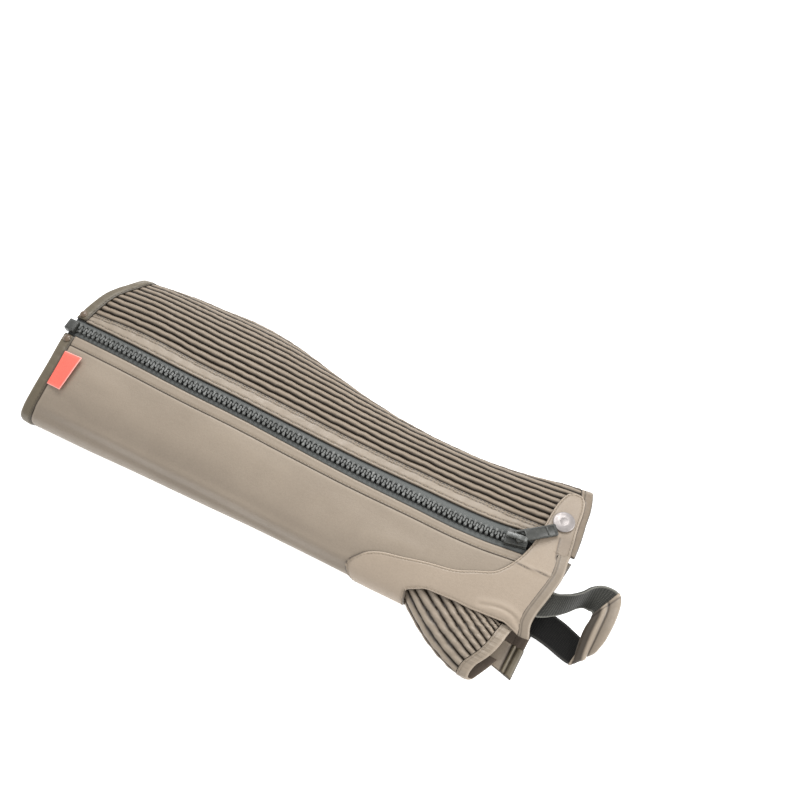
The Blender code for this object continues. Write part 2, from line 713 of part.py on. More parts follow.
def stretch_border():
    """Ribbed strip on the inner side between the pleats and the inner seam."""
    columns, depth = ribbed(BORDER_RIBS)
    grid = places(
        lambda x: border_seam(x) + HALF_GAP, lambda x: border_seam(x) + BORDER_WIDTH - HALF_GAP,
        columns, LONG_ROWS, panel_start, panel_end,
    )
    outer = raised(grid, np.tile(-depth * BORDER_RIB_DEPTH, (len(LONG_ROWS), 1)))
    wall("stretch_border", outer, raised(grid, -WALL - BORDER_RIB_DEPTH), "taupe_leather")


def bound_edge(name, first, last, start, end, across, middle):
    """Binding along a hem: across gives (fraction, outer height, inner height) rows."""
    columns = bend_columns(middle, first(middle), last(middle), HEM_COLUMN_WIDTH)
    rows = np.array([row[0] for row in across])
    grid = places(first, last, columns, rows, start, end)
    rise = np.tile([[row[1]] for row in across], (1, len(columns)))
    deep = np.tile([[row[2]] for row in across], (1, len(columns)))
    wall(name, raised(grid, rise), raised(grid, deep), "dark_binding")


def bindings():
    """Bound edges: round the knee hem, and round the ankle hem behind the yoke."""
    bound_edge(
        "knee_binding", lambda x: ZIP_TAPE_EDGE + 0.6, lambda x: section(x).girth - ZIP_TAPE_EDGE - 0.6,
        knee_edge, lambda angle: knee_seam(angle) - HALF_GAP, KNEE_BINDING_SHAPE, -215.0,
    )
    bound_edge(
        "ankle_binding_rear", lambda x: -ZIP_TAPE_EDGE - FACING_WIDTH,
        lambda x: section(x).wrap_under(smooth(CORNER_SEAM, "y", x), False),
        lambda angle: ankle_seam(angle) + HALF_GAP, ankle_edge, ANKLE_BINDING_SHAPE, 187.0,
    )


def yoke_grid():
    """Places of the yoke from its tab's end to the shin, where only its front part goes on."""
    front_share = 0.34
    columns = np.concatenate([np.linspace(0, front_share, 4), np.linspace(front_share, 1.0, 8)[1:]])
    rows = []
    for row in YOKE_ROWS:
        line = []
        for u in columns:
            x, right = row.left, row.right
            for _ in range(3):
                wrap = section(x).wrap_on_top(row.y)
                if row.right is None:
                    right = yoke_seam(section(x).angle(wrap)) - HALF_GAP
                x = row.left + u * (right - row.left)
            line.append((x, wrap))
        rows.append(line)
    cut = section(YOKE_WRAP_X)
    front = cut.wrap_on_top(float(smooth(YOKE_FRONT, "y", YOKE_WRAP_X)))
    for share in bend_columns(YOKE_WRAP_X, front, cut.wrap_under(YOKE_UNDER_Y, True)):
        left = float(smooth(YOKE_WRAP, "left", share))
        line = []
        for u in columns:
            end = yoke_seam(YOKE_FRONT_ANGLE) - HALF_GAP
            if u <= front_share:
                x = left + u / front_share * (YOKE_CORNER_X - left)
            else:
                x = YOKE_CORNER_X + (u - front_share) / (1 - front_share) * (end - YOKE_CORNER_X)
            cut = section(x)
            top = cut.wrap_on_top(float(smooth(YOKE_FRONT, "y", x)))
            line.append((x, top + share * (cut.wrap_under(YOKE_UNDER_Y, True) - top)))
        rows.append(line)
    kept = np.ones((len(rows) - 1, len(columns) - 1), bool)
    kept[len(YOKE_ROWS):, 3:] = False
    return np.array(rows), kept


def yoke():
    """Overlay round the front of the ankle, with its snap tab, and its bound hem."""
    grid, kept = yoke_grid()
    leg_piece("ankle_yoke", grid, "taupe_leather", YOKE_WALL, YOKE_LIFT + YOKE_WALL, kept)

    grid = places(
        lambda x: section(x).wrap_on_top(YOKE_BAND_TOP),
        lambda x: section(x).wrap_on_top(float(smooth(YOKE_FRONT, "y", x))),
        np.linspace(0, 1, 12), np.array([row[0] for row in YOKE_BAND_SHAPE]),
        lambda angle: yoke_seam(angle) + HALF_GAP, yoke_edge,
    )
    rise = np.tile([[row[1]] for row in YOKE_BAND_SHAPE], (1, 12))
    deep = np.tile([[row[2]] for row in YOKE_BAND_SHAPE], (1, 12))
    wall("ankle_binding_yoke", raised(grid, rise), raised(grid, deep), "taupe_leather")


def corner_piece():
    """Front corner of the inner side, flat on the surface, and its bound end."""
    ends = (CORNER_START, CORNER_END - CORNER_BAND - HALF_GAP)
    stations = np.linspace(*ends, 8)
    shares = np.linspace(0, 1, 4)

    def flat(stations, height):
        rows = []
        for x in stations:
            seam = float(smooth(CORNER_SEAM, "y", x)) - CORNER_GAP
            front = float(smooth(CORNER_FRONT, "y", x))
            rows.append([(x, seam + share * (front - seam), height) for share in shares])
        return np.array(rows)

    wall("corner_panel", flat(stations, 0.0), flat(stations, WALL), "taupe_leather")
    band = np.linspace(ends[1] + SEAM_GAP, CORNER_END, 5)
    top = flat(band, BINDING_WALL)
    top[0, :, 2] -= 0.6
    top[-1, :, 2] -= 1.2
    wall("corner_binding", flat(band, 0.0), top, "dark_binding")


def gusset():
    """Fan of pleats folded over at the front of the ankle, and its bound hem."""
    ribs = np.array([list(rib) for rib in GUSSET_RIBS], float)
    lines, depths = [], []
    parts = [(part, depth) for part, depth in PLEAT_SHAPE]
    for k in range(len(ribs) - 1):
        before, after = ribs[max(k - 1, 0)], ribs[min(k + 2, len(ribs) - 1)]
        for part, depth in parts:
            lines.append(catmull(before, ribs[k], ribs[k + 1], after, part))
            depths.append(depth)
    lines.append(ribs[-1])
    depths.append(1.0)
    lines = np.array(lines)

    def grid_points(shares):
        points = np.zeros((len(shares), len(lines), 3))
        for j, share in enumerate(shares):
            for i, line in enumerate(lines):
                point = line[0:3] + share * (line[3:6] - line[0:3])
                point[1] -= line[6] * 4 * min(share, 1.0) * max(1.0 - share, 0.0)
                points[j, i] = point
        return points

    base = grid_points(np.linspace(0, 1, GUSSET_ROWS))
    along = np.array([1.0, 0.0, 0.0])
    ends = lines[:, 3:6]
    hem = np.array([ends + along * reach for reach in (GUSSET_GAP, GUSSET_HEM * 0.5, GUSSET_HEM)])
    base = np.concatenate([base, hem])
    normals = grid_normals(base)
    normals[GUSSET_ROWS - 1] = normals[GUSSET_ROWS]
    groove = np.array(depths) * GUSSET_DEPTH
    fan, band = slice(0, GUSSET_ROWS), slice(GUSSET_ROWS, None)
    outer = base[fan] - normals[fan] * groove[None, :, None]
    wall("gusset", outer, base[fan] - normals[fan] * GUSSET_WALL, "taupe_leather")

    rise, deep = (np.array(side)[:, None, None] for side in GUSSET_HEM_SHAPE)
    outer, inner = (base[band] + normals[band] * height for height in (rise, deep))
    wall("gusset_binding", outer[:, ::2], inner[:, ::2], "dark_binding")


def catmull(before, first, second, after, u):
    """Row between two rows of a table, on a smooth curve through its neighbours."""
    return 0.5 * (
        2 * first + (second - before) * u
        + (2 * before - 5 * first + 4 * second - after) * u * u
        + (3 * first - before - 3 * second + after) * u ** 3
    )


def grid_normals(points):
    """Unit normals of a grid of points, upwards on its first column."""
    down_rows = np.gradient(points, axis=0)
    along_columns = np.gradient(points, axis=1)
    normals = np.cross(down_rows, along_columns)
    normals /= np.linalg.norm(normals, axis=2)[:, :, None]
    if normals[:, 0, 2].mean() < 0:
        normals = -normals
    return normals


def strap():
    """Elastic band under the foot in two stretches, with a leather sleeve between."""
    edges = np.array([list(edge) for edge in STRAP], float)

    def at(place):
        k = min(int(place), len(edges) - 2)
        before, after = edges[max(k - 1, 0)], edges[min(k + 2, len(edges) - 1)]
        return catmull(before, edges[k], edges[k + 1], after, place - k)

    def ribbon(name, first, last, steps, thickness, material_name, spread=0.0):
        rows = []
        for place in np.linspace(first, last, steps + 1):
            edge = at(place)
            far, near = edge[0:3], edge[3:6]
            side = (far - near) / np.linalg.norm(far - near) * spread
            rows.append([far + side, far * 0.67 + near * 0.33, far * 0.33 + near * 0.67, near - side])
        middle = np.array(rows)
        normals = grid_normals(middle)
        top, bottom = middle + normals * thickness / 2, middle - normals * thickness / 2
        lowest = min(top[:, :, 2].min(), bottom[:, :, 2].min())
        if lowest < 0.0:
            top[:, :, 2] = np.maximum(top[:, :, 2], 0.0)
            bottom[:, :, 2] = np.maximum(bottom[:, :, 2], 0.0)
        wall(name, top, bottom, material_name)

    upper_gap, lower_gap = STRAP_GAPS
    ribbon("strap_upper", 0.0, SLEEVE_FROM - upper_gap, 22, STRAP_WALL, "elastic")
    ribbon("strap_sleeve", SLEEVE_FROM, SLEEVE_TO, 18, SLEEVE_WALL, "taupe_leather", SLEEVE_SPREAD)
    ribbon("strap_lower", SLEEVE_TO + lower_gap, len(edges) - 1, 18, STRAP_WALL, "elastic")


def snap_and_rivets():
    """Snap cap on the yoke's tab, and a capped rivet each side of the zip's top."""
    wrap = section(SNAP_X).wrap_on_top(SNAP_Y)
    seat = YOKE_LIFT + YOKE_WALL + SEAM_GAP + 0.35
    turned("snap_cap", SNAP_PROFILE, seat_frame(SNAP_X, wrap, seat), "nickel")
    for name, side in (("front", -1), ("rear", 1)):
        wrap = side * RIVET_OFF_ZIP
        x = knee_edge(90.0) + RIVET_INSET
        turned("rivet_" + name, RIVET_PROFILE, seat_frame(x, wrap, BINDING_RISE + SEAM_GAP), "dark_binding", 20)
        under = seat_frame(x, wrap, -BINDING_WALL - SEAM_GAP)
        back = under @ Matrix.Rotation(math.pi, 4, "X")
        turned("rivet_back_" + name, RIVET_BACK_PROFILE, back, "nickel", 20)


def zip_fittings():
    """End box at the knee, the slider on the chain, and its pull tab on a pin."""
    length, width, height = ZIP_BOX
    box = block("zip_box", rectangle(length, width, 0.0, -length / 2), height, "black_plastic", 0.6)
    box.matrix_world = seat_frame(ZIP_BOX_X, 0.0, ZIP_FOOT)

    x = SLIDER_X
    wide, narrow = SLIDER_WIDTHS
    front, back = -SLIDER_LENGTH * 0.42, SLIDER_LENGTH * 0.58
    corners = (
        (front, -wide / 2, 0), (front * 0.2, -wide / 2, 0), (back, -narrow / 2, 0),
        (back, narrow / 2, 0), (front * 0.2, wide / 2, 0), (front, wide / 2, 0),
    )
    slider = block("zip_slider", corners, SLIDER_HEIGHT, "black_plastic")
    place = seat_frame(x, 0.0, ZIP_FOOT)
    slider.matrix_world = place

    hinge = place @ Vector((0.0, 0.0, (SLIDER_HEIGHT + PIN_HEIGHT) * MM))
    turn = Matrix.Translation(hinge) @ Matrix.Rotation(PULL_YAW, 4, "Z")
    pin_length = PULL_NECK + 2 * SEAM_GAP + 2 * LUG_THICKNESS
    pin = rod("slider_pin", PIN_RADIUS, pin_length - 0.2, 24, "black_plastic")
    pin.matrix_world = turn
    combine(slider, pin, "UNION")
    for side in (-1, 1):
        offset = side * (PULL_NECK / 2 + SEAM_GAP + LUG_THICKNESS / 2)
        base = -PIN_HEIGHT - 0.8
        corners = tuple((px - LUG_LENGTH / 2, py + offset, base) for px, py, _ in rectangle(LUG_LENGTH, LUG_THICKNESS))
        lug = block("slider_lug", corners, PIN_HEIGHT + 0.8 + PIN_RADIUS + 0.7, "black_plastic")
        lug.matrix_world = turn
        combine(slider, lug, "UNION")

    pull = zip_pull()
    pull.matrix_world = turn @ Matrix.Rotation(PULL_PITCH, 4, "Y")
    return hinge


def zip_pull():
    """Pull tab: a plate with a neck and an eye round the slider's pin."""
    half, thick = PULL_WIDTH / 2, PULL_THICKNESS
    neck = PULL_NECK / 2
    outline = (
        (0.6, -neck, 0), (3.6, -neck, 0), (6.0, -half, 0), (PULL_LENGTH - 1.6, -half, 0),
        (PULL_LENGTH, -half + 1.6, 0), (PULL_LENGTH, half - 1.6, 0),
        (PULL_LENGTH - 1.6, half, 0), (6.0, half, 0), (3.6, neck, 0), (0.6, neck, 0),
    )
    outline = tuple((x, y, -thick / 2) for x, y, _ in outline)
    pull = block("zip_pull", outline, thick, "black_plastic")
    combine(pull, rod("pull_eye", EYE_RADIUS, PULL_NECK, 20, "black_plastic"), "UNION")
    combine(pull, rod("pull_bore", PIN_RADIUS + PIN_CLEARANCE, PULL_NECK * 3, 24, "black_plastic"), "DIFFERENCE")
    for guide in ("pull_eye", "pull_bore"):
        bpy.data.objects[guide].parent = pull
    return pull


def label():
    """Folded cloth label, caught in the knee binding's seam and lifting off the panel."""
    rows = np.linspace(0, 1, 5)
    columns = np.linspace(0, 1, 6)
    outer, inner = np.zeros((5, 6, 3)), np.zeros((5, 6, 3))
    for j, row in enumerate(rows):
        for i, column in enumerate(columns):
            wrap = LABEL_WRAPS[0] + column * (LABEL_WRAPS[1] - LABEL_WRAPS[0])
            reach = LABEL_REACH[0] + column * (LABEL_REACH[1] - LABEL_REACH[0])
            start = knee_seam(section(-215.0).angle(wrap)) + SEAM_GAP
            lift = SEAM_GAP + 0.15 + LABEL_LIFT * row ** 1.5
            place = (start + row * reach, wrap)
            outer[j, i] = on_leg(*place, lift + LABEL_WALL)
            inner[j, i] = on_leg(*place, lift)
    wall("label", outer, inner, "coral_label")


def centre_outline():
    """Move everything so that the outline's middle is at the origin."""
    step = Matrix.Translation((-MIDDLE_X * MM, -MIDDLE_Y * MM, 0.0))
    for item in bpy.data.objects:
        if item.parent is not None:
            continue
        if item.matrix_world == Matrix.Identity(4):
            item.data.transform(step)
        else:
            item.matrix_world = step @ item.matrix_world


def main():
    """Build every piece of the half chap."""
    clear_scene()
    main_panel()
    zip_pieces()
    stretch_panel()
    stretch_border()
    bindings()
    yoke()
    corner_piece()
    gusset()
    strap()
    snap_and_rivets()
    zip_fittings()
    label()
    centre_outline()


main()
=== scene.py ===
"""Half chap for the left leg, laid flat with its zip side up and dressed in leather.

The leg is a flattened tube. A place on it is x, the distance along the leg, and wrap, the
distance round it from the zip's centre line, positive towards the calf. Tables and sizes
are in millimetres: +X runs from the knee to the ankle, +Y towards the calf and +Z up.
"""
import logging
import math
from dataclasses import dataclass, field
from enum import Enum
from typing import Callable, NamedTuple, Optional, Sequence

import bmesh
import bpy
import numpy as np
from mathutils import Matrix, Vector

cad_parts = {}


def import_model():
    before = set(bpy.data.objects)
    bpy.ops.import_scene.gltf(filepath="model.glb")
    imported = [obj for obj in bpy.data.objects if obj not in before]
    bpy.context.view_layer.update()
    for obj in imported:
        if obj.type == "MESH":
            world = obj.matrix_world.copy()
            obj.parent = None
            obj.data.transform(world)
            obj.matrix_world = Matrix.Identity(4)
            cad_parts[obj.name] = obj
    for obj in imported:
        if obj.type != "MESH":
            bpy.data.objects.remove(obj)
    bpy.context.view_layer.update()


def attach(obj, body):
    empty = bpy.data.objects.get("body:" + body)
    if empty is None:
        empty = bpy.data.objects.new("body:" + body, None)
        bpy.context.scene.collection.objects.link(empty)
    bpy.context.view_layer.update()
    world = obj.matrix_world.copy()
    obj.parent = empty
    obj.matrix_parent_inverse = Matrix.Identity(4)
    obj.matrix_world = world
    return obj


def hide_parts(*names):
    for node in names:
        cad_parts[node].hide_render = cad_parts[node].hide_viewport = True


LOG = logging.getLogger("half_chap")

MM = 0.001
MIDDLE = np.array([5.24, 1.89, 0.0])
SEAM_GAP = 0.3
HALF_GAP = SEAM_GAP / 2

Array = np.ndarray
Item = bpy.types.Object
Node = bpy.types.Node
Socket = bpy.types.NodeSocket
Triple = tuple[float, float, float]
AlongLeg = Callable[[Array], Array]


# The leg's form and the lines that are drawn on it, in millimetres

class Station(NamedTuple):
    """Widest section of the leg at x: its edges, its crown and its widest line's height."""

    x: float
    shin: float
    calf: float
    crown: float
    fold: float


class Hem(NamedTuple):
    """Place of a hem at an angle round the leg: 0 calf edge, 90 crown, 180 shin edge."""

    angle: float
    x: float


class Line(NamedTuple):
    """Point of a line that is drawn on the leg seen from above."""

    x: float
    y: float


class Wrap(NamedTuple):
    """Point of a line that is drawn round the leg."""

    x: float
    wrap: float


class Crease(NamedTuple):
    """Soft ridge, or trough where rise is negative, from one place on the leg to another."""

    x: float
    wrap: float
    to_x: float
    to_wrap: float
    width: float
    rise: float
    bow: float = 0.0


LEG = (
    Station(-235, -59.8, 82.0, 32.0, 10.0),
    Station(-200, -59.4, 83.5, 37.5, 10.0),
    Station(-170, -59.2, 87.0, 41.0, 10.0),
    Station(-130, -58.2, 89.1, 42.0, 10.0),
    Station(-100, -57.8, 90.3, 41.0, 10.0),
    Station(-68, -57.3, 87.1, 39.0, 9.5),
    Station(-30, -56.5, 79.3, 35.0, 9.0),
    Station(20, -56.5, 70.7, 31.0, 8.5),
    Station(70, -57.0, 67.6, 28.5, 8.0),
    Station(120, -57.0, 70.1, 26.5, 8.0),
    Station(160, -57.0, 77.8, 24.5, 8.0),
    Station(195, -57.0, 82.4, 22.5, 8.0),
)
KNEE_HEM = (
    Hem(0, -200.5), Hem(22, -203.0), Hem(36, -206.5), Hem(46, -212.0), Hem(55, -216.7),
    Hem(65, -220.0), Hem(75, -222.7), Hem(88, -224.6), Hem(97, -224.4), Hem(114, -223.6),
    Hem(138, -224.6), Hem(155, -225.8), Hem(172, -226.2), Hem(185, -225.0), Hem(203, -221.0),
    Hem(225, -215.5), Hem(247, -211.0), Hem(270, -207.2), Hem(315, -202.8), Hem(360, -200.5),
)
ANKLE_HEM = (
    Hem(0, 182.8), Hem(18, 183.8), Hem(33, 186.0), Hem(45, 187.9), Hem(56, 189.0),
    Hem(66, 190.6), Hem(80, 191.9), Hem(100, 190.0), Hem(130, 187.5), Hem(180, 187.0),
    Hem(300, 186.5), Hem(335, 184.5), Hem(360, 182.8),
)
YOKE_HEM = (
    Hem(50, 186.5), Hem(72, 188.0), Hem(85, 189.2), Hem(96, 190.7), Hem(105, 189.2),
    Hem(115, 187.0), Hem(123, 185.2), Hem(134, 184.9), Hem(142, 187.2), Hem(155, 188.0),
)
ZIP_LINE = (
    Line(-230, 16.6), Line(-209, 15.5), Line(-170, 13.3), Line(-120, 11.4), Line(-72, 11.4),
    Line(-33, 11.2), Line(23, 10.8), Line(72, 11.4), Line(111, 11.8), Line(131, 13.2),
    Line(152, 16.0), Line(175, 18.0), Line(195, 18.5),
)
FIRST_PLEAT = (
    Wrap(-230, 16.3), Wrap(-210, 16.5), Wrap(-180, 18.3), Wrap(-100, 18.0), Wrap(0, 19.5),
    Wrap(72, 20.0), Wrap(121, 20.5), Wrap(152, 18.5), Wrap(195, 18.5),
)
INNER_SEAM = (
    Line(-235, 42.0), Line(-208, 45.3), Line(-187, 49.0), Line(-156, 53.5), Line(-115, 54.0),
    Line(-73, 50.6), Line(-53, 46.0), Line(-32, 41.0), Line(-11, 36.5), Line(9, 32.5),
    Line(30, 29.0), Line(61, 26.4), Line(92, 26.2), Line(113, 26.6), Line(134, 28.0),
    Line(154, 31.5), Line(175, 34.5), Line(195, 36.5),
)
CORNER_SEAM = (
    Line(97, -52.0), Line(104, -50.0), Line(112, -46.5), Line(123, -45.2), Line(154, -46.0),
    Line(190, -50.0),
)
CORNER_FRONT = (
    Line(104, -54.0), Line(125, -59.0), Line(140, -61.5), Line(155, -64.5),
    Line(170, -68.0), Line(190, -73.0),
)
YOKE_FRONT = (
    Line(45, -44.5), Line(80, -45.5), Line(89, -47.6), Line(94.5, -50.2), Line(99, -48.0),
    Line(104.5, -45.2), Line(111, -44.1), Line(122, -43.9),
    Line(133, -43.2), Line(145, -43.4), Line(156, -42.3), Line(167, -41.4), Line(173, -43.5),
    Line(179, -45.0), Line(185, -44.8), Line(195, -42.0),
)


# Curves, folds and grids that the pieces share

def hermite(keys: Array, values: Array, at: Array) -> Array:
    """Values on a smooth curve through rows at uneven keys.

    Args:
        keys: place of each row, rising.
        values: one value or one array for each row.
        at: places to read, held inside the keys.

    Returns:
        One value or array for each place.
    """
    slopes = np.gradient(values, keys, axis=0)
    at = np.clip(at, keys[0], keys[-1])
    low = np.clip(np.searchsorted(keys, at) - 1, 0, len(keys) - 2)
    span = keys[low + 1] - keys[low]
    u = (at - keys[low]) / span
    if values.ndim > 1:
        extra = (1,) * (values.ndim - 1)
        u, span = u.reshape(u.shape + extra), span.reshape(span.shape + extra)
    return (
        values[low] * (1 + 2 * u) * (1 - u) ** 2
        + values[low + 1] * u * u * (3 - 2 * u)
        + slopes[low] * span * u * (1 - u) ** 2
        + slopes[low + 1] * span * u * u * (u - 1)
    )


def smooth(table: Sequence[NamedTuple], column: str, at: Array) -> Array:
    """One column of a table on a smooth curve through its rows.

    Args:
        table: rows whose first column is the key.
        column: name of the column to read.
        at: places to read.

    Returns:
        The column's value at each place.
    """
    keys = np.array([row[0] for row in table], float)
    values = np.array([getattr(row, column) for row in table], float)
    return hermite(keys, values, np.asarray(at, float))


def bump(distance: Array, width: float) -> Array:
    """Round bump of height 1 over a distance, falling to a third at the width."""
    return np.exp(-((distance / width) ** 2))


def rolled(distance: Array, reach: float) -> Array:
    """Share by which an edge is rolled down: 1 at the edge and 0 from the reach inwards."""
    return np.clip(1 - distance / reach, 0, 1) ** 2


def wander(x: Array, seed: int, size: float = 1.0, wave: float = 1.0) -> Array:
    """Smooth hand-made unevenness along the leg.

    Args:
        x: places along the leg.
        seed: picks one of the many lines.
        size: largest swing, roughly.
        wave: stretches the waves.

    Returns:
        The line's value at each place.
    """
    draw = np.random.default_rng(seed)
    total = np.zeros_like(np.asarray(x, float))
    for length, share in ((67.0, 0.5), (29.0, 0.3), (13.0, 0.2)):
        total = total + share * np.sin(x / (length * wave) * 2 * math.pi + draw.uniform(0, 6.28))
    return total * size


def creased(table: Sequence[Crease], x: Array, wrap: Array) -> Array:
    """Height of the creases of a table at places on the leg.

    Args:
        table: the creases.
        x: places along the leg.
        wrap: places round it.

    Returns:
        The sum of the creases' heights.
    """
    total = np.zeros_like(x * wrap)
    for row in table:
        dx, dw = row.to_x - row.x, row.to_wrap - row.wrap
        length = math.hypot(dx, dw)
        t = ((x - row.x) * dx + (wrap - row.wrap) * dw) / length ** 2
        inside = np.clip(4 * t * (1 - t), 0, 1)
        across = ((wrap - row.wrap) * dx - (x - row.x) * dw) / length - row.bow * inside
        total = total + row.rise * np.sqrt(inside) * bump(across, row.width)
    return total


def graded(
    width: float, marks: Sequence[float], step: float, near: float = 0.5, reach: float = 1.6,
) -> Array:
    """Fractions of a width, closer together round some marks.

    Args:
        width: the whole width.
        marks: places where finer steps are wanted.
        step: the usual step.
        near: the step near a mark.
        reach: how far from a mark it counts as near.

    Returns:
        Rising fractions from 0 to 1.
    """
    points = list(np.linspace(0, width, max(2, int(round(width / step)) + 1)))
    for mark in marks:
        points += list(mark + np.arange(-reach, reach + near / 2, near))
    kept = [0.0]
    for point in sorted(points):
        if kept[-1] + near * 0.6 < point < width - near * 0.6:
            kept.append(point)
    return np.array(kept + [width]) / width


class Leg:
    """Outer face of the flattened tube, read by place along it and distance round it."""

    FIRST, LAST = -238.0, 202.0
    REACH, FINE = 320.0, 0.5
    DEGREES = np.arange(-280.0, 461.0)
    FOLD_SPREAD = 0.45

    def __init__(self) -> None:
        """Work out the sections once, a millimetre apart."""
        self.stations = np.arange(self.FIRST, self.LAST + 1.0)
        self.wraps = np.arange(-self.REACH, self.REACH + self.FINE, self.FINE)
        tables = [self._section(x) for x in self.stations]
        names = ("y", "z", "normal_y", "normal_z", "degrees", "around")
        self.tables = {name: np.array([table[k] for table in tables]) for k, name in enumerate(names)}

    def _section(self, x: float) -> tuple[Array, ...]:
        """Outline, normals, angles and distances round the section at x.

        Args:
            x: place along the leg, in mm.

        Returns:
            Its y and z, both parts of its normals, its angles, and the distances round it.
        """
        shin, calf = smooth(LEG, "shin", x), smooth(LEG, "calf", x)
        crown, fold = smooth(LEG, "crown", x), smooth(LEG, "fold", x)
        angle = np.radians(self.DEGREES)
        sine = np.sin(angle)
        centre, half = (calf + shin) / 2, (calf - shin) / 2
        y = centre + half * np.cos(angle)
        under = np.clip(-sine / self.FOLD_SPREAD, 0.0, 1.0)
        z = np.where(sine >= 0, fold + (crown - fold) * sine, fold * (1 - np.sin(under * math.pi / 2)))
        across, up = np.gradient(y), np.gradient(z)
        steepness = np.hypot(across, up)
        around = np.concatenate([[0.0], np.cumsum(np.hypot(np.diff(y), np.diff(z)))])
        zip_angle = math.degrees(math.acos((smooth(ZIP_LINE, "y", x) - centre) / half))
        around = around - np.interp(zip_angle, self.DEGREES, around)
        columns = (y, z, up / steepness, -across / steepness, self.DEGREES)
        read = [np.interp(-self.wraps, around, column) for column in columns]
        return (*read, -around)

    def _read(self, name: str, x: Array, column: Array) -> Array:
        """Table's value between its rows and columns, by a column's index.

        Args:
            name: name of the table.
            x: places along the leg, in mm.
            column: index of its column, which may be a fraction.

        Returns:
            The values.
        """
        table = self.tables[name]
        row = np.clip(x - self.FIRST, 0, len(self.stations) - 1.001)
        column = np.clip(column, 0, table.shape[1] - 1.001)
        i, j = row.astype(int), column.astype(int)
        u, v = row - i, column - j
        low = table[i, j] * (1 - v) + table[i, j + 1] * v
        high = table[i + 1, j] * (1 - v) + table[i + 1, j + 1] * v
        return low * (1 - u) + high * u

    def at_wrap(self, name: str, x: Array, wrap: Array) -> Array:
        """Value of a table by distance round the leg."""
        x, wrap = np.broadcast_arrays(np.asarray(x, float), np.asarray(wrap, float))
        return self._read(name, x, (wrap + self.REACH) / self.FINE)

    def angle(self, x: Array, wrap: Array) -> Array:
        """Angle round the section, in degrees."""
        return self.at_wrap("degrees", x, wrap)

    def wrap_at(self, x: Array, degrees: Array) -> Array:
        """Distance round the leg at an angle."""
        x, degrees = np.broadcast_arrays(np.asarray(x, float), np.asarray(degrees, float))
        return self._read("around", x, degrees - self.DEGREES[0])

    def _angle_of(self, x: Array, y: Array) -> Array:
        """Angle on the upper side at y, in degrees.

        Args:
            x: places along the leg, in mm.
            y: places across the leg, in mm.

        Returns:
            The angles, in degrees.
        """
        shin, calf = smooth(LEG, "shin", x), smooth(LEG, "calf", x)
        share = (y - (calf + shin) / 2) / ((calf - shin) / 2)
        return np.degrees(np.arccos(np.clip(share, -1, 1)))

    def wrap_on_top(self, x: Array, y: Array) -> Array:
        """Distance round the leg of the upper side's point at y."""
        return self.wrap_at(x, self._angle_of(x, y))

    def wrap_under(self, x: Array, y: Array, by_shin: bool) -> Array:
        """Distance round the leg of the underside's point at y, counted round either edge."""
        angle = self._angle_of(x, y)
        return self.wrap_at(x, 360.0 - angle if by_shin else -angle)

    def girth(self, x: Array) -> Array:
        """Distance all the way round the leg."""
        return self.wrap_at(x, 0.0) - self.wrap_at(x, 360.0)

    def normal(self, x: Array, wrap: Array) -> Array:
        """Outward direction."""
        y, z = self.at_wrap("normal_y", x, wrap), self.at_wrap("normal_z", x, wrap)
        return np.stack([np.zeros_like(y), y, z], axis=-1)

    def point(self, x: Array, wrap: Array, out: Array = 0.0) -> Array:
        """Point on the leg's outer face, moved outwards and kept off the ground below.

        Args:
            x: places along the leg, in mm.
            wrap: places round the leg, in mm.
            out: how far outwards to move, in mm.

        Returns:
            The points, in mm.
        """
        x, wrap, out = np.broadcast_arrays(*(np.asarray(v, float) for v in (x, wrap, out)))
        y = self.at_wrap("y", x, wrap) + out * self.at_wrap("normal_y", x, wrap)
        z = self.at_wrap("z", x, wrap) + out * self.at_wrap("normal_z", x, wrap)
        return np.stack([x, y, np.maximum(z, 0.0)], axis=-1)

    def seat(self, x: float, wrap: float, out: float) -> Matrix:
        """Matrix in metres whose +X runs along the leg, +Y round it and +Z outwards.

        Args:
            x: places along the leg, in mm.
            wrap: places round the leg, in mm.
            out: how far outwards to move, in mm.

        Returns:
            The matrix, in metres.
        """
        here = self.point(x, wrap, out) - MIDDLE
        along = Vector(self.point(x + 4, wrap, out) - self.point(x - 4, wrap, out)).normalized()
        around = Vector(self.point(x, wrap + 3, out) - self.point(x, wrap - 3, out)).normalized()
        up = along.cross(around).normalized()
        turn = Matrix((along, up.cross(along), up)).transposed().to_4x4()
        return Matrix.Translation(Vector(here) * MM) @ turn @ Matrix.Scale(MM, 4)


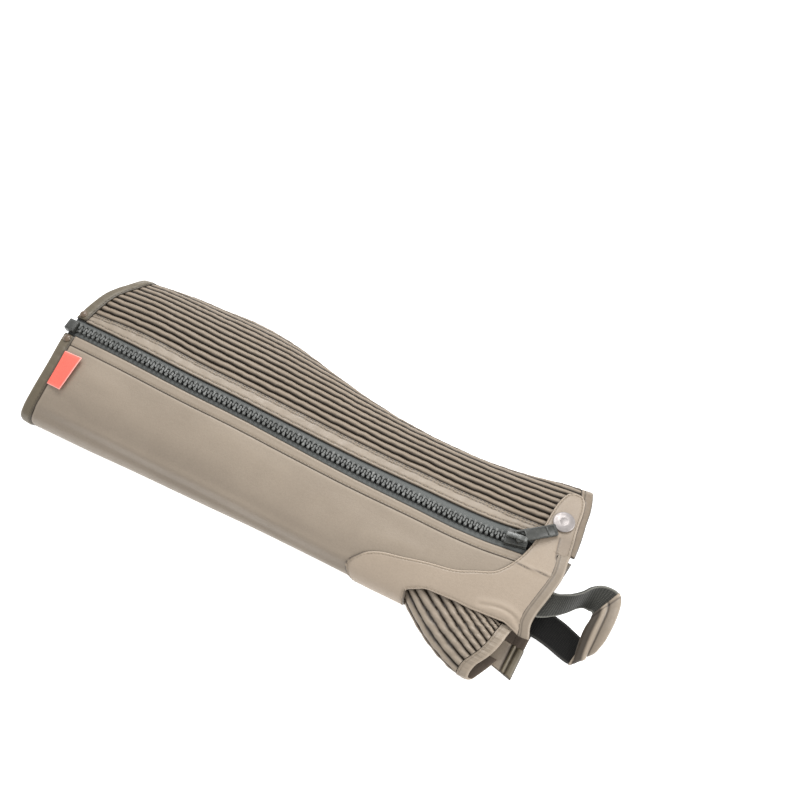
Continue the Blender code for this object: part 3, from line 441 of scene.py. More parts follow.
@dataclass(frozen=True)
class Pattern:
    """Seams and hems that the pieces are cut to, in millimetres."""

    leg: Leg
    binding: float = 9.0
    ankle_binding: float = 8.5
    yoke_binding: float = 8.0
    hem_gap: float = 0.45
    tape_edge: float = 7.0
    facing: float = 8.0
    border: float = 27.0
    notch_x: float = 91.5
    notch_side: float = 3.5

    def knee_edge(self, angle: Array) -> Array:
        """Knee hem's free edge."""
        return smooth(KNEE_HEM, "x", np.asarray(angle, float) % 360.0)

    def knee_seam(self, angle: Array) -> Array:
        """Seam of the knee's binding."""
        return self.knee_edge(angle) + self.binding

    def ankle_edge(self, angle: Array) -> Array:
        """Ankle hem's free edge."""
        return smooth(ANKLE_HEM, "x", np.asarray(angle, float) % 360.0)

    def ankle_seam(self, angle: Array) -> Array:
        """Seam of the ankle's binding."""
        return self.ankle_edge(angle) - self.ankle_binding

    def yoke_edge(self, angle: Array) -> Array:
        """Yoke's free hem."""
        return smooth(YOKE_HEM, "x", angle)

    def yoke_seam(self, angle: Array) -> Array:
        """Fold line of the yoke's hem."""
        return self.yoke_edge(angle) - self.yoke_binding

    def panel_start(self, angle: Array) -> Array:
        """End of the panels at the knee."""
        return self.knee_seam(angle) + self.hem_gap

    def panel_end(self, angle: Array) -> Array:
        """End of the panels at the ankle."""
        return self.ankle_seam(angle) - self.hem_gap

    def tape_side(self, x: Array, side: "Side") -> Array:
        """Wrap distance of a facing's edge on the zip's tape, wider apart at the ankle."""
        wide = 9.2 if side is Side.REAR else 8.3
        return side.value * np.interp(x, (-60.0, 105.0), (6.8, wide))

    def front_seam(self, x: Array) -> Array:
        """Seam between the front panel and the zip's front facing."""
        return np.full_like(x, -self.tape_edge - self.facing)

    def first_pleat(self, x: Array) -> Array:
        """Seam between the zip's rear facing and the pleats."""
        return smooth(FIRST_PLEAT, "wrap", x)

    def inner_seam(self, x: Array, by_shin: bool) -> Array:
        """Curved seam of the inner side, counted round either edge."""
        return self.leg.wrap_under(x, smooth(INNER_SEAM, "y", x), by_shin)

    def border_seam(self, x: Array) -> Array:
        """Seam between the pleats and the ribbed border."""
        return self.inner_seam(x, False) - self.border

    def places(
        self, first: AlongLeg, last: AlongLeg, columns: Array, rows: Array,
        start: AlongLeg, end: AlongLeg,
    ) -> tuple[Array, Array]:
        """Grid of places between two seams and two hems.

        Args:
            first: wrap distance of the first seam, for x.
            last: wrap distance of the last seam, for x.
            columns: fractions from the first seam to the last.
            rows: fractions from one hem to the other.
            start: x of the first hem, for an angle.
            end: x of the last hem, for an angle.

        Returns:
            The grids of x and of wrap distances.
        """
        column, row = columns[None, :], rows[:, None]
        top = np.array(90.0)
        x = start(top) + row * (end(top) - start(top)) + 0 * column
        wrap = x
        for _ in range(7):
            wrap = first(x) + column * (last(x) - first(x))
            angle = self.leg.angle(x, wrap)
            x = start(angle) + row * (end(angle) - start(angle))
        return x, wrap


class Side(Enum):
    """Side of the zip."""

    FRONT = -1
    REAR = 1


# Finishes

class Nodes:
    """Node tree of one material, written a node at a time."""

    def __init__(self, name: str, colour: Triple) -> None:
        """Start a material with its shader's plain colour.

        Args:
            name: name of the finish.
            colour: its plain colour.
        """
        self.material = bpy.data.materials.new("dressed_" + name)
        self.material.use_nodes = True
        self.tree = self.material.node_tree
        self.shader = self.tree.nodes["Principled BSDF"]
        self.shader.inputs["Base Color"].default_value = (*colour, 1.0)
        self.material.diffuse_color = (*colour, 1.0)

    def add(self, kind: str, **values: object) -> Node:
        """Node of a kind, with its settings, or its inputs where no setting has the name.

        Args:
            kind: kind of node.
            values: settings and inputs, by name.

        Returns:
            The new node.
        """
        node = self.tree.nodes.new("ShaderNode" + kind)
        for key, value in values.items():
            label = key.replace("_", " ").title()
            if hasattr(node, key):
                setattr(node, key, value)
            else:
                node.inputs[label].default_value = value
        return node

    def link(self, output: Socket, target: Socket) -> None:
        """Join two sockets."""
        self.tree.links.new(output, target)

    def mix(self, share: object, first: object, second: object, blend: str = "MIX") -> Socket:
        """Colour between two, each given as a colour or a socket, by a share.

        Args:
            share: how much of the second shows.
            first: first of the two.
            second: second of the two.
            blend: way of blending.

        Returns:
            The blended colour.
        """
        node = self.add("Mix", data_type="RGBA", blend_type=blend)
        for socket, value in zip((node.inputs[0], node.inputs[6], node.inputs[7]), (share, first, second)):
            if isinstance(value, Socket):
                self.link(value, socket)
            else:
                socket.default_value = value
        return node.outputs[2]

    def span(self, value: Socket, low: float, high: float, to_low: float, to_high: float) -> Socket:
        """Value moved from one range to another, and held inside it.

        Args:
            value: the value.
            low: its low end.
            high: its high end.
            to_low: what the low end becomes.
            to_high: what the high end becomes.

        Returns:
            The moved value.
        """
        node = self.add("MapRange")
        for label, number in (("From Min", low), ("From Max", high), ("To Min", to_low), ("To Max", to_high)):
            node.inputs[label].default_value = number
        self.link(value, node.inputs["Value"])
        return node.outputs[0]

    def maths(self, operation: str, first: object, second: object = 0.0) -> Socket:
        """Sum, product or the like of two values or sockets.

        Args:
            operation: name of the sum.
            first: first of the two.
            second: second of the two.

        Returns:
            The result.
        """
        node = self.add("Math", operation=operation)
        for socket, value in zip(node.inputs, (first, second)):
            if isinstance(value, Socket):
                self.link(value, socket)
            else:
                socket.default_value = value
        return node.outputs[0]

    def noise(self, size: float, detail: float = 3.0, stretch: Triple = (1, 1, 1)) -> Socket:
        """Noise whose features are about a size in millimetres, in the object's own space.

        Args:
            size: size in mm.
            detail: how fine it goes.
            stretch: scale along each axis.

        Returns:
            The noise, 0 to 1.
        """
        place = self.add("Mapping")
        place.inputs["Scale"].default_value = stretch
        self.link(self.add("TexCoord").outputs["Object"], place.inputs["Vector"])
        node = self.add("TexNoise", scale=1 / (size * MM), detail=detail)
        self.link(place.outputs[0], node.inputs["Vector"])
        return node.outputs["Fac"]

    def cells(self, size: float) -> Socket:
        """Distance to the middle of pebbles of a size in millimetres.

        Args:
            size: size in mm.

        Returns:
            The distance.
        """
        node = self.add("TexVoronoi", scale=1 / (size * MM))
        self.link(self.add("TexCoord").outputs["Object"], node.inputs["Vector"])
        return node.outputs["Distance"]

    def worn(self, name: str) -> Socket:
        """Attribute of the mesh."""
        return self.add("Attribute", attribute_name=name).outputs["Fac"]

    def relief(self, height: Socket, distance: float, under: Optional[Node] = None) -> Node:
        """Bump of a distance in millimetres, over another bump where one is given.

        Args:
            height: socket of the height.
            distance: depth in mm.
            under: bump below it.

        Returns:
            The bump.
        """
        node = self.add("Bump", strength=1.0, distance=distance * MM)
        self.link(height, node.inputs["Height"])
        if under is not None:
            self.link(under.outputs[0], node.inputs["Normal"])
        return node

    def dress(
        self, colour: Optional[Socket], roughness: object, relief: Optional[Node],
    ) -> bpy.types.Material:
        """Join the colour, the roughness and the relief to the shader.

        Args:
            colour: colour, if not the plain one.
            roughness: a number or a socket.
            relief: bump, if there is one.

        Returns:
            The finished material.
        """
        if colour is not None:
            self.link(colour, self.shader.inputs["Base Color"])
        if isinstance(roughness, Socket):
            self.link(roughness, self.shader.inputs["Roughness"])
        else:
            self.shader.inputs["Roughness"].default_value = roughness
        if relief is not None:
            self.link(relief.outputs[0], self.shader.inputs["Normal"])
        return self.material


@dataclass(frozen=True)
class Leather:
    """Grained leather: mottled colour, painted shade in seams and grooves, pale wear and painted highlights
    on ridges, pebbles and wrinkles.
    """

    name: str
    colour: Triple
    pale: Triple
    dark: Triple = (0.018, 0.012, 0.007)
    roughness: float = 0.42
    grain: float = 0.75
    depth: float = 0.05
    wrinkle: float = 0.10

    def material(self) -> bpy.types.Material:
        """Build the leather.

        Returns:
            The material.
        """
        nodes = Nodes(self.name, self.colour)
        base, pale, dark = ((*c, 1.0) for c in (self.colour, self.pale, self.dark))
        mottle = nodes.span(nodes.noise(34.0, 3.0), 0.3, 0.7, 0.3, 0.7)
        colour = nodes.mix(mottle, base, pale)
        speck = nodes.span(nodes.noise(1.4, 2.0), 0.35, 0.75, 0.0, 0.08)
        colour = nodes.mix(speck, colour, dark)
        # Paler where the worn attribute is set: rubbed wear, and painted highlights on ridges and rolled
        # edges.
        rubbed = (*[min(1.0, c * 1.35) for c in self.pale], 1.0)
        colour = nodes.mix(nodes.maths("MULTIPLY", nodes.worn("worn"), 0.5), colour, rubbed)
        # Darker where the seam attribute is set: painted shade in seams, creases, grooves and shaded sides.
        colour = nodes.mix(nodes.worn("seam"), colour, dark)
        roughness = nodes.span(nodes.noise(7.0, 4.0), 0.3, 0.7, self.roughness - 0.06, self.roughness + 0.08)
        pebbles = nodes.relief(nodes.cells(self.grain), self.depth)
        soft = nodes.relief(nodes.noise(5.5, 4.0, (0.6, 1.5, 1.0)), self.wrinkle, pebbles)
        nodes.shader.inputs["Specular IOR Level"].default_value = 0.5
        return nodes.dress(colour, roughness, soft)


@dataclass(frozen=True)
class Weave:
    """Woven or knitted cloth along a band's own UV map, in which 1 is 10 mm."""

    name: str
    colour: Triple
    light: Triple
    along: float
    across: float
    slant: float = 0.0
    depth: float = 0.12
    roughness: float = 0.85
    sheen: float = 0.2
    edge: Optional[Triple] = None

    def material(self) -> bpy.types.Material:
        """Build the cloth from a wave each way.

        Returns:
            The material.
        """
        nodes = Nodes(self.name, self.colour)
        base, light = (*self.colour, 1.0), (*self.light, 1.0)
        parts = nodes.add("SeparateXYZ")
        nodes.link(nodes.add("TexCoord").outputs["UV"], parts.inputs[0])
        u, v = parts.outputs[0], parts.outputs[1]
        turned = nodes.maths("ADD", u, nodes.maths("MULTIPLY", v, self.slant))
        waves = []
        for place, pitch in ((turned, self.along), (v, self.across)):
            turns = nodes.maths("MULTIPLY", place, 10.0 / pitch * 2 * math.pi)
            waves.append(nodes.maths("ABSOLUTE", nodes.maths("SINE", nodes.maths("MULTIPLY", turns, 0.5))))
        yarn = nodes.maths("MULTIPLY", *waves)
        fleck = nodes.span(nodes.noise(0.9, 2.0), 0.35, 0.7, 0.0, 0.6)
        colour = nodes.mix(nodes.maths("MULTIPLY", yarn, 0.55), base, light)
        colour = nodes.mix(fleck, colour, base)
        # Near black where the seam attribute is set: painted shade.
        colour = nodes.mix(nodes.worn("seam"), colour, (0.006, 0.006, 0.006, 1.0))
        # Edge colour where the worn attribute is set: a pale selvedge, which on the elastic is a painted
        # highlight.
        edge = (*(self.edge or self.light), 1.0)
        colour = nodes.mix(nodes.maths("MULTIPLY", nodes.worn("worn"), 0.7), colour, edge)
        nodes.shader.inputs["Specular IOR Level"].default_value = 0.2
        nodes.shader.inputs["Sheen Weight"].default_value = self.sheen
        nodes.shader.inputs["Sheen Roughness"].default_value = 0.5
        return nodes.dress(colour, self.roughness, nodes.relief(yarn, self.depth))


@dataclass(frozen=True)
class Hard:
    """Moulded plastic, enamel or metal with fine unevenness and rubbed places."""

    name: str
    colour: Triple
    rubbed: Triple
    roughness: float
    metallic: float = 0.0
    depth: float = 0.02

    def material(self) -> bpy.types.Material:
        """Build the finish.

        Returns:
            The material.
        """
        nodes = Nodes(self.name, self.colour)
        rub = nodes.span(nodes.noise(3.0, 4.0), 0.45, 0.75, 0.0, 0.7)
        colour = nodes.mix(rub, (*self.colour, 1.0), (*self.rubbed, 1.0))
        roughness = nodes.span(nodes.noise(1.6, 3.0), 0.3, 0.7, self.roughness - 0.05, self.roughness + 0.1)
        nodes.shader.inputs["Metallic"].default_value = self.metallic
        return nodes.dress(colour, roughness, nodes.relief(nodes.noise(0.5, 2.0), self.depth))


class Finish(Enum):
    """Finishes of the half chap."""

    LEATHER = Leather("taupe_leather", (0.240, 0.195, 0.148), (0.305, 0.250, 0.192))
    # Lighter copy of the taupe leather for the yoke: painted light, where the light falls stronger.
    PALE = Leather("rubbed_leather", (0.300, 0.240, 0.182), (0.375, 0.304, 0.234))
    PLEAT = Leather(
        "pleated_leather", (0.160, 0.124, 0.088), (0.222, 0.174, 0.126), roughness=0.46, wrinkle=0.16,
    )
    BINDING = Leather(
        "bound_leather", (0.092, 0.074, 0.046), (0.134, 0.109, 0.071), roughness=0.46, wrinkle=0.14,
    )
    FLESH = Leather(
        "flesh_side", (0.060, 0.043, 0.031), (0.095, 0.070, 0.050), roughness=0.82, grain=0.5, depth=0.08,
    )
    THREAD = Leather(
        "thread", (0.270, 0.215, 0.155), (0.350, 0.285, 0.210), roughness=0.6, grain=0.25, depth=0.03,
    )
    TAPE = Weave("zip_tape", (0.112, 0.118, 0.114), (0.205, 0.214, 0.210), 0.9, 0.7, 1.0, 0.06)
    # The elastic's edge colour paints a highlight on its selvedges.
    ELASTIC = Weave(
        "elastic", (0.022, 0.022, 0.019), (0.125, 0.124, 0.110), 1.7, 1.3, 0.0, 0.20,
        edge=(0.260, 0.255, 0.225),
    )
    # Darker copy of the elastic for the lower stretch: painted shade, with its own painted edge highlight.
    SHADED = Weave(
        "elastic_painted_shade", (0.005, 0.005, 0.005), (0.026, 0.025, 0.022), 1.7, 1.3, 0.0, 0.20, 0.9, 0.0,
        edge=(0.060, 0.058, 0.052),
    )
    LINING = Weave("elastic_cloth", (0.020, 0.022, 0.022), (0.060, 0.064, 0.062), 1.0, 0.8, 0.5, 0.10)
    LABEL = Weave(
        "coral_label", (0.840, 0.125, 0.090), (0.930, 0.250, 0.190), 0.5, 0.4, 0.0, 0.03, 0.55, 0.1,
        edge=(0.930, 0.700, 0.640),
    )
    TOOTH = Hard("tooth_plastic", (0.085, 0.088, 0.083), (0.250, 0.256, 0.246), 0.24)
    PLASTIC = Hard("black_plastic", (0.036, 0.037, 0.033), (0.070, 0.072, 0.065), 0.36)
    NICKEL = Hard("nickel", (0.30, 0.277, 0.270), (0.335, 0.31, 0.30), 0.46, 1.0, 0.002)
    ENAMEL = Hard("brown_enamel", (0.120, 0.085, 0.056), (0.170, 0.125, 0.085), 0.24)
    BRASS = Hard("pale_brass", (0.78, 0.66, 0.44), (0.85, 0.78, 0.62), 0.30, 1.0)

    def material(self) -> bpy.types.Material:
        """The finish's material, made once."""
        return bpy.data.materials.get("dressed_" + self.value.name) or self.value.material()


@dataclass
class Cloth:
    """Grid of outer and inner points that becomes one closed wall of cloth."""

    name: str
    outer: Array
    inner: Array
    # seam holds painted shade, and worn holds paleness from wear, selvedges and painted highlights, 0 to 1 at
    # each grid point
    seam: Optional[Array] = None
    worn: Optional[Array] = None
    uv: Optional[Array] = None
    kept: Optional[Array] = None

    def build(self, outside: Finish, inside: Finish) -> Item:
        """Make the wall.

        Args:
            outside: finish of the outer face and the rims.
            inside: finish of the inner face.

        Returns:
            The piece, with its place in its mesh.
        """
        rows, columns = self.outer.shape[:2]
        count = rows * columns
        kept = np.ones((rows - 1, columns - 1), bool) if self.kept is None else self.kept
        index = np.arange(count).reshape(rows, columns)
        ring = np.stack([index[:-1, :-1], index[:-1, 1:], index[1:, 1:], index[1:, :-1]], axis=-1)
        padded = np.pad(kept, 1)
        faces = [ring[kept], ring[kept][:, ::-1] + count]
        for k, (dj, di) in enumerate(((-1, 0), (0, 1), (1, 0), (0, -1))):
            beside = padded[1 + dj:rows + dj, 1 + di:columns + di]
            border = ring[kept & ~beside]
            a, b = border[:, k], border[:, (k + 1) % 4]
            faces.append(np.stack([b, a, a + count, b + count], axis=1))
        slots = np.zeros(sum(len(f) for f in faces), int)
        slots[len(faces[0]):len(faces[0]) + len(faces[1])] = 1
        faces = np.concatenate(faces)
        used, flat = np.unique(faces, return_inverse=True)
        points = np.concatenate([self.outer.reshape(-1, 3), self.inner.reshape(-1, 3)])[used]
        return self._mesh(points, flat.reshape(-1, 4), slots, used, (outside, inside))

    def _mesh(
        self, points: Array, faces: Array, slots: Array, used: Array, finishes: tuple[Finish, Finish],
    ) -> Item:
        """Mesh object from the wall's points and faces, with its attributes.

        Args:
            points: points in mm.
            faces: corners of each face.
            slots: finish of each face.
            used: grid place of each point.
            finishes: finish outside and inside.

        Returns:
            The piece.
        """
        mesh = bpy.data.meshes.new(self.name)
        mesh.from_pydata(((points - MIDDLE) * MM).tolist(), [], faces.tolist())
        mesh.polygons.foreach_set("material_index", slots)
        # The seam attribute carries painted shade; the worn attribute carries wear, selvedges and painted
        # highlights.
        for label, values in (("seam", self.seam), ("worn", self.worn)):
            layer = mesh.attributes.new(label, "FLOAT", "POINT")
            if values is not None:
                flat = np.broadcast_to(values, self.outer.shape[:2]).reshape(-1)
                both = np.concatenate([flat, np.zeros_like(flat)])
                layer.data.foreach_set("value", both[used])
        if self.uv is not None:
            flat = self.uv.reshape(-1, 2)
            both = np.concatenate([flat, flat])[used] / 10.0
            corners = np.zeros(len(mesh.loops), int)
            mesh.loops.foreach_get("vertex_index", corners)
            mesh.uv_layers.new(name="UVMap").data.foreach_set("uv", both[corners].reshape(-1))
        work = bmesh.new()
        work.from_mesh(mesh)
        bmesh.ops.remove_doubles(work, verts=work.verts, dist=0.002 * MM)
        bmesh.ops.recalc_face_normals(work, faces=work.faces)
        work.to_mesh(mesh)
        work.free()
        mesh.shade_smooth()
        mesh.set_sharp_from_angle(angle=math.radians(60.0))
        for finish in finishes:
            mesh.materials.append(finish.material())
        item = bpy.data.objects.new(self.name, mesh)
        bpy.context.scene.collection.objects.link(item)
        return item


def on_leg(
    leg: Leg, name: str, grid: Sequence[Array], outer: Array, inner: Array,
    seam: Array, worn: Array, kept: Optional[Array] = None,
) -> Cloth:
    """Wall whose two faces follow the leg.

    Args:
        leg: the leg.
        name: name of the piece.
        grid: places along and round the leg.
        outer: height of the outer face, in mm.
        inner: height of the inner face, in mm.
        seam: painted shade at each place, 0 to 1.
        worn: paleness at each place, 0 to 1: wear, selvedges and painted highlights.
        kept: cells that are cloth, or none for all.

    Returns:
        The wall.
    """
    x, wrap = grid
    faces = [leg.point(x, wrap, height) for height in (outer, inner)]
    return Cloth(name, *faces, seam, worn, np.stack([x, wrap], axis=-1), kept)


def place_in(item: Item, body: str, nodes: Sequence[str] = ()) -> Item:
    """Let a piece ride on a body and stand for the CAD nodes it replaces.

    Args:
        item: the piece.
        body: body that it rides on.
        nodes: CAD nodes that it stands for.

    Returns:
        The piece.
    """
    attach(item, body)
    if nodes:
        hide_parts(*nodes)
    LOG.info("%s: %d faces, %.5f m2 a side", item.name, len(item.data.polygons), half_area(item))
    return item


def half_area(item: Item) -> float:
    """Half of a wall's surface, which is its cloth's area in square metres."""
    return sum(face.area for face in item.data.polygons) / 2


def edge_drop(distances: Sequence[Array], depth: float = 0.55, reach: float = 1.3) -> Array:
    """Height lost where a piece's edges roll down into their seams."""
    return -depth * sum(rolled(np.maximum(d, 0.0), reach) for d in distances)


def edge_shade(distances: Sequence[Array], width: float = 0.5) -> Array:
    """Painted shade in the seams at a piece's edges."""
    return np.clip(sum(0.9 * bump(np.maximum(d, 0.0), width) for d in distances), 0, 1)


def edge_wear_and_highlight(distances: Sequence[Array], back: float = 1.3, width: float = 0.6) -> Array:
    """Paleness of the ridge just inside a piece's edges: rubbed wear and a painted highlight."""
    return np.clip(sum(0.5 * bump(d - back, width) for d in distances), 0, 1)


def trough(distance: Array, depth: float = 0.32, width: float = 0.7) -> Array:
    """Height lost where a row of stitches pulls the leather in."""
    return -depth * bump(distance, width)


# Lines of thread, and pieces made on the bench

def from_line(points: Array, line: Array) -> Array:
    """Distance of each point of a grid from a line of points, both flat.

    Args:
        points: points in mm.
        line: points of the line, in mm.

    Returns:
        The distances.
    """
    start, step = line[:-1], np.diff(line, axis=0)
    offset = points[..., None, :] - start
    share = np.clip((offset * step).sum(-1) / np.maximum((step ** 2).sum(-1), 1e-9), 0, 1)
    return np.linalg.norm(offset - share[..., None] * step, axis=-1).min(-1)


def inset_line(line: Array, distance: float) -> Array:
    """Line moved sideways, to the right of its direction, by a distance.

    Args:
        line: points of the line, in mm.
        distance: distance in mm.

    Returns:
        The moved line.
    """
    step = np.gradient(line, axis=0)
    step /= np.linalg.norm(step, axis=1)[:, None]
    return line + distance * np.stack([step[:, 1], -step[:, 0]], axis=1)


def evenly(line: Array, pitch: float) -> Array:
    """Places along a line of points, as fractional indexes a pitch apart.

    Args:
        line: points of the line, in mm.
        pitch: distance apart in mm.

    Returns:
        The indexes.
    """
    along = np.concatenate([[0.0], np.cumsum(np.linalg.norm(np.diff(line, axis=0), axis=1))])
    count = max(1, int(along[-1] / pitch))
    margin = (along[-1] - (count - 1) * pitch) / 2
    return np.interp(margin + pitch * np.arange(count), along, np.arange(len(line)))


def at_index(values: Array, places: Array) -> Array:
    """Rows of an array between its whole indexes.

    Args:
        values: rows to read.
        places: indexes, with fractions.

    Returns:
        The rows between.
    """
    low = np.clip(places.astype(int), 0, len(values) - 2)
    share = (places - low)[:, None]
    return values[low] * (1 - share) + values[low + 1] * share


class Bench:
    """One small hard piece, shaped in edit mode in its own frame and in millimetres."""

    def __init__(self, name: str) -> None:
        """Name the piece."""
        self.name = name
        self.item: Optional[Item] = None

    def _take(self) -> None:
        """Go on with the primitive that was just added, in edit mode."""
        if self.item is None:
            self.item = bpy.context.active_object
            self.item.name = self.item.data.name = self.name
            bpy.ops.object.mode_set(mode="EDIT")
            bpy.ops.mesh.select_mode(type="FACE")

    def block(self, size: Sequence[float], centre: Sequence[float]) -> "Bench":
        """Add a block of a size at a place, and leave it selected.

        Args:
            size: length, width and height in mm.
            centre: its middle in mm.

        Returns:
            The bench.
        """
        if self.item is None:
            bpy.ops.object.select_all(action="DESELECT")
        else:
            bpy.ops.mesh.select_all(action="DESELECT")
        first = self.item is None
        bpy.ops.mesh.primitive_cube_add(size=1.0, location=(0.0, 0.0, 0.0) if first else centre)
        self._take()
        if first:
            bpy.ops.transform.translate(value=centre)
        bpy.ops.transform.resize(value=size, center_override=centre)
        return self

    def disc(self, radius: float, sides: int, height: float = 0.0) -> "Bench":
        """Add a flat disc facing up, and leave it selected.

        Args:
            radius: radius in mm.
            sides: number of sides.
            height: height of the disc in mm.

        Returns:
            The bench.
        """
        if self.item is None:
            bpy.ops.object.select_all(action="DESELECT")
        bpy.ops.mesh.primitive_circle_add(vertices=sides, radius=radius, fill_type="NGON")
        self._take()
        bpy.ops.transform.translate(value=(0.0, 0.0, height))
        return self

    def bar(self, radius: float, length: float, sides: int) -> "Bench":
        """Add a round bar along Y, and leave it selected.

        Args:
            radius: radius in mm.
            length: length in mm.
            sides: number of sides.

        Returns:
            The bench.
        """
        if self.item is None:
            bpy.ops.object.select_all(action="DESELECT")
        else:
            bpy.ops.mesh.select_all(action="DESELECT")
        bpy.ops.mesh.primitive_cylinder_add(
            vertices=sides, radius=radius, depth=length, rotation=(math.pi / 2, 0.0, 0.0),
        )
        self._take()
        return self

    def pick(self, test: Callable[[Vector, Vector], bool]) -> "Bench":
        """Select the faces whose centre and normal pass a test.

        Args:
            test: takes a face's centre and normal.

        Returns:
            The bench.
        """
        bpy.ops.mesh.select_all(action="DESELECT")
        work = bmesh.from_edit_mesh(self.item.data)
        for face in work.faces:
            face.select_set(bool(test(face.calc_center_median(), face.normal)))
        bmesh.update_edit_mesh(self.item.data)
        return self

    def middle(self) -> Vector:
        """Middle of the selected faces.

        Returns:
            The middle, in mm.
        """
        work = bmesh.from_edit_mesh(self.item.data)
        centres = [face.calc_center_median() for face in work.faces if face.select]
        return sum(centres, Vector()) / len(centres)

    def extrude(self, x: float, y: float, z: float) -> "Bench":
        """Extrude the selected faces and move them."""
        bpy.ops.mesh.extrude_region_move(TRANSFORM_OT_translate={"value": (x, y, z)})
        return self

    def move(self, x: float, y: float, z: float) -> "Bench":
        """Move the selected faces."""
        bpy.ops.transform.translate(value=(x, y, z))
        return self

    def resize(self, x: float, y: float, z: float) -> "Bench":
        """Scale the selected faces about their middle."""
        bpy.ops.transform.resize(value=(x, y, z), center_override=self.middle())
        return self

    def inset(self, width: float, depth: float = 0.0) -> "Bench":
        """Inset the selected faces and sink or raise them."""
        bpy.ops.mesh.inset(thickness=width, depth=depth)
        return self

    def finish(self, bevel: float = 0.0, segments: int = 2, smooth_angle: float = 40.0) -> Item:
        """Leave edit mode, bevel the piece and shade it.

        Args:
            bevel: bevel width, or 0 for none.
            segments: steps in a bevel.
            smooth_angle: largest angle that is shaded smooth, in degrees.

        Returns:
            The piece's object, still in its own frame.
        """
        bpy.ops.mesh.select_all(action="SELECT")
        bpy.ops.mesh.normals_make_consistent(inside=False)
        bpy.ops.object.mode_set(mode="OBJECT")
        if bevel:
            step = self.item.modifiers.new("Bevel", "BEVEL")
            step.width, step.segments, step.limit_method = bevel, segments, "ANGLE"
            bpy.ops.object.modifier_apply(modifier=step.name)
        bpy.ops.object.shade_smooth_by_angle(angle=math.radians(smooth_angle))
        self.item.select_set(False)
        return self.item


def turned(name: str, profile: Sequence[tuple[float, float]], sides: int) -> Item:
    """Round piece about +Z, extruded ring by ring from its foot.

    Args:
        name: the piece's name.
        profile: radius and height of each ring, foot first.
        sides: number of sides.

    Returns:
        The piece in its own frame, in millimetres.
    """
    bench = Bench(name).disc(profile[0][0], sides, profile[0][1])
    for (before, low), (radius, height) in zip(profile, profile[1:]):
        bench.extrude(0.0, 0.0, height - low)
        bench.resize(radius / before, radius / before, 1.0)
    return bench.finish(smooth_angle=35.0)


def lay(item: Item, place: Matrix, finish: Finish) -> Item:
    """Put a bench piece in its place in metres, and give it its finish.

    Args:
        item: the piece.
        place: where it goes.
        finish: its finish.

    Returns:
        The piece.
    """
    item.data.transform(place)
    item.matrix_world = Matrix.Identity(4)
    item.data.materials.clear()
    item.data.materials.append(finish.material())
    return item


def copies(name: str, stamp: Item, frames: Sequence[Matrix], finish: Finish) -> Item:
    """Join copies of a small piece, one at each frame, and drop the piece itself.

    Args:
        name: name of the joined piece.
        stamp: the small piece in its own frame.
        frames: place of each copy, in metres.
        finish: finish of all of them.

    Returns:
        The joined piece.
    """
    source = stamp.data
    points = np.array([(*v.co, 1.0) for v in source.vertices])
    faces = [list(face.vertices) for face in source.polygons]
    matrices = np.array([list(map(list, frame)) for frame in frames])
    placed = np.einsum("nij,vj->nvi", matrices, points)[..., :3]
    shift = len(points)
    joined = [[v + k * shift for v in face] for k in range(len(frames)) for face in faces]
    mesh = bpy.data.meshes.new(name)
    mesh.from_pydata(placed.reshape(-1, 3).tolist(), [], joined)
    mesh.shade_smooth()
    mesh.set_sharp_from_angle(angle=math.radians(38.0))
    mesh.materials.append(finish.material())
    item = bpy.data.objects.new(name, mesh)
    bpy.context.scene.collection.objects.link(item)
    bpy.data.objects.remove(stamp, do_unlink=True)
    return item


@dataclass
class Stitches:
    """Rows of thread: each stitch is a small lozenge that lies in the pulled-in leather."""

    pitch: float = 3.0
    length: float = 2.2
    radius: float = 0.28
    frames: list[Matrix] = field(default_factory=list)

    def sew(self, points: Array, normals: Array, pitch: float = 0.0, height: float = -0.16) -> None:
        """Sew one row.

        Args:
            points: points along the row, in millimetres.
            normals: outward directions there.
            pitch: distance between stitches, or 0 for the usual one.
            height: height of the thread's middle over the points.
        """
        if len(points) < 2:
            return
        places = evenly(points, pitch or self.pitch)
        here, up = at_index(points, places), at_index(normals, places)
        ahead = at_index(points, np.minimum(places + 0.3, len(points) - 1))
        behind = at_index(points, np.maximum(places - 0.3, 0))
        for p, n, a, b in zip(here, up, ahead, behind):
            along = Vector(a - b).normalized()
            side = Vector(n).cross(along).normalized()
            out = along.cross(side)
            turn = Matrix((along, side, out)).transposed().to_4x4()
            spot = Vector((p + height * np.array(out) - MIDDLE)) * MM
            self.frames.append(Matrix.Translation(spot) @ turn @ Matrix.Scale(MM, 4))

    def build(self, name: str, finish: Finish) -> Item:
        """Model one stitch and join a copy of it at each place.

        Args:
            name: name of the piece.
            finish: finish of the thread.

        Returns:
            The piece.
        """
        thick = self.radius * 1.5
        bench = Bench(name + "_stamp").block((self.length * 0.6, thick, thick), (0, 0, 0))
        for way in (1, -1):
            bench.pick(lambda centre, normal, way=way: normal.x * way > 0.9)
            bench.extrude(way * self.length * 0.2, 0.0, -self.radius * 0.7).resize(1.0, 0.45, 0.45)
        bench.pick(lambda centre, normal: abs(normal.x) < 0.2)
        stamp = bench.finish(bevel=self.radius * 0.5, segments=1)
        return place_in(copies(name, stamp, self.frames, finish), "chap")


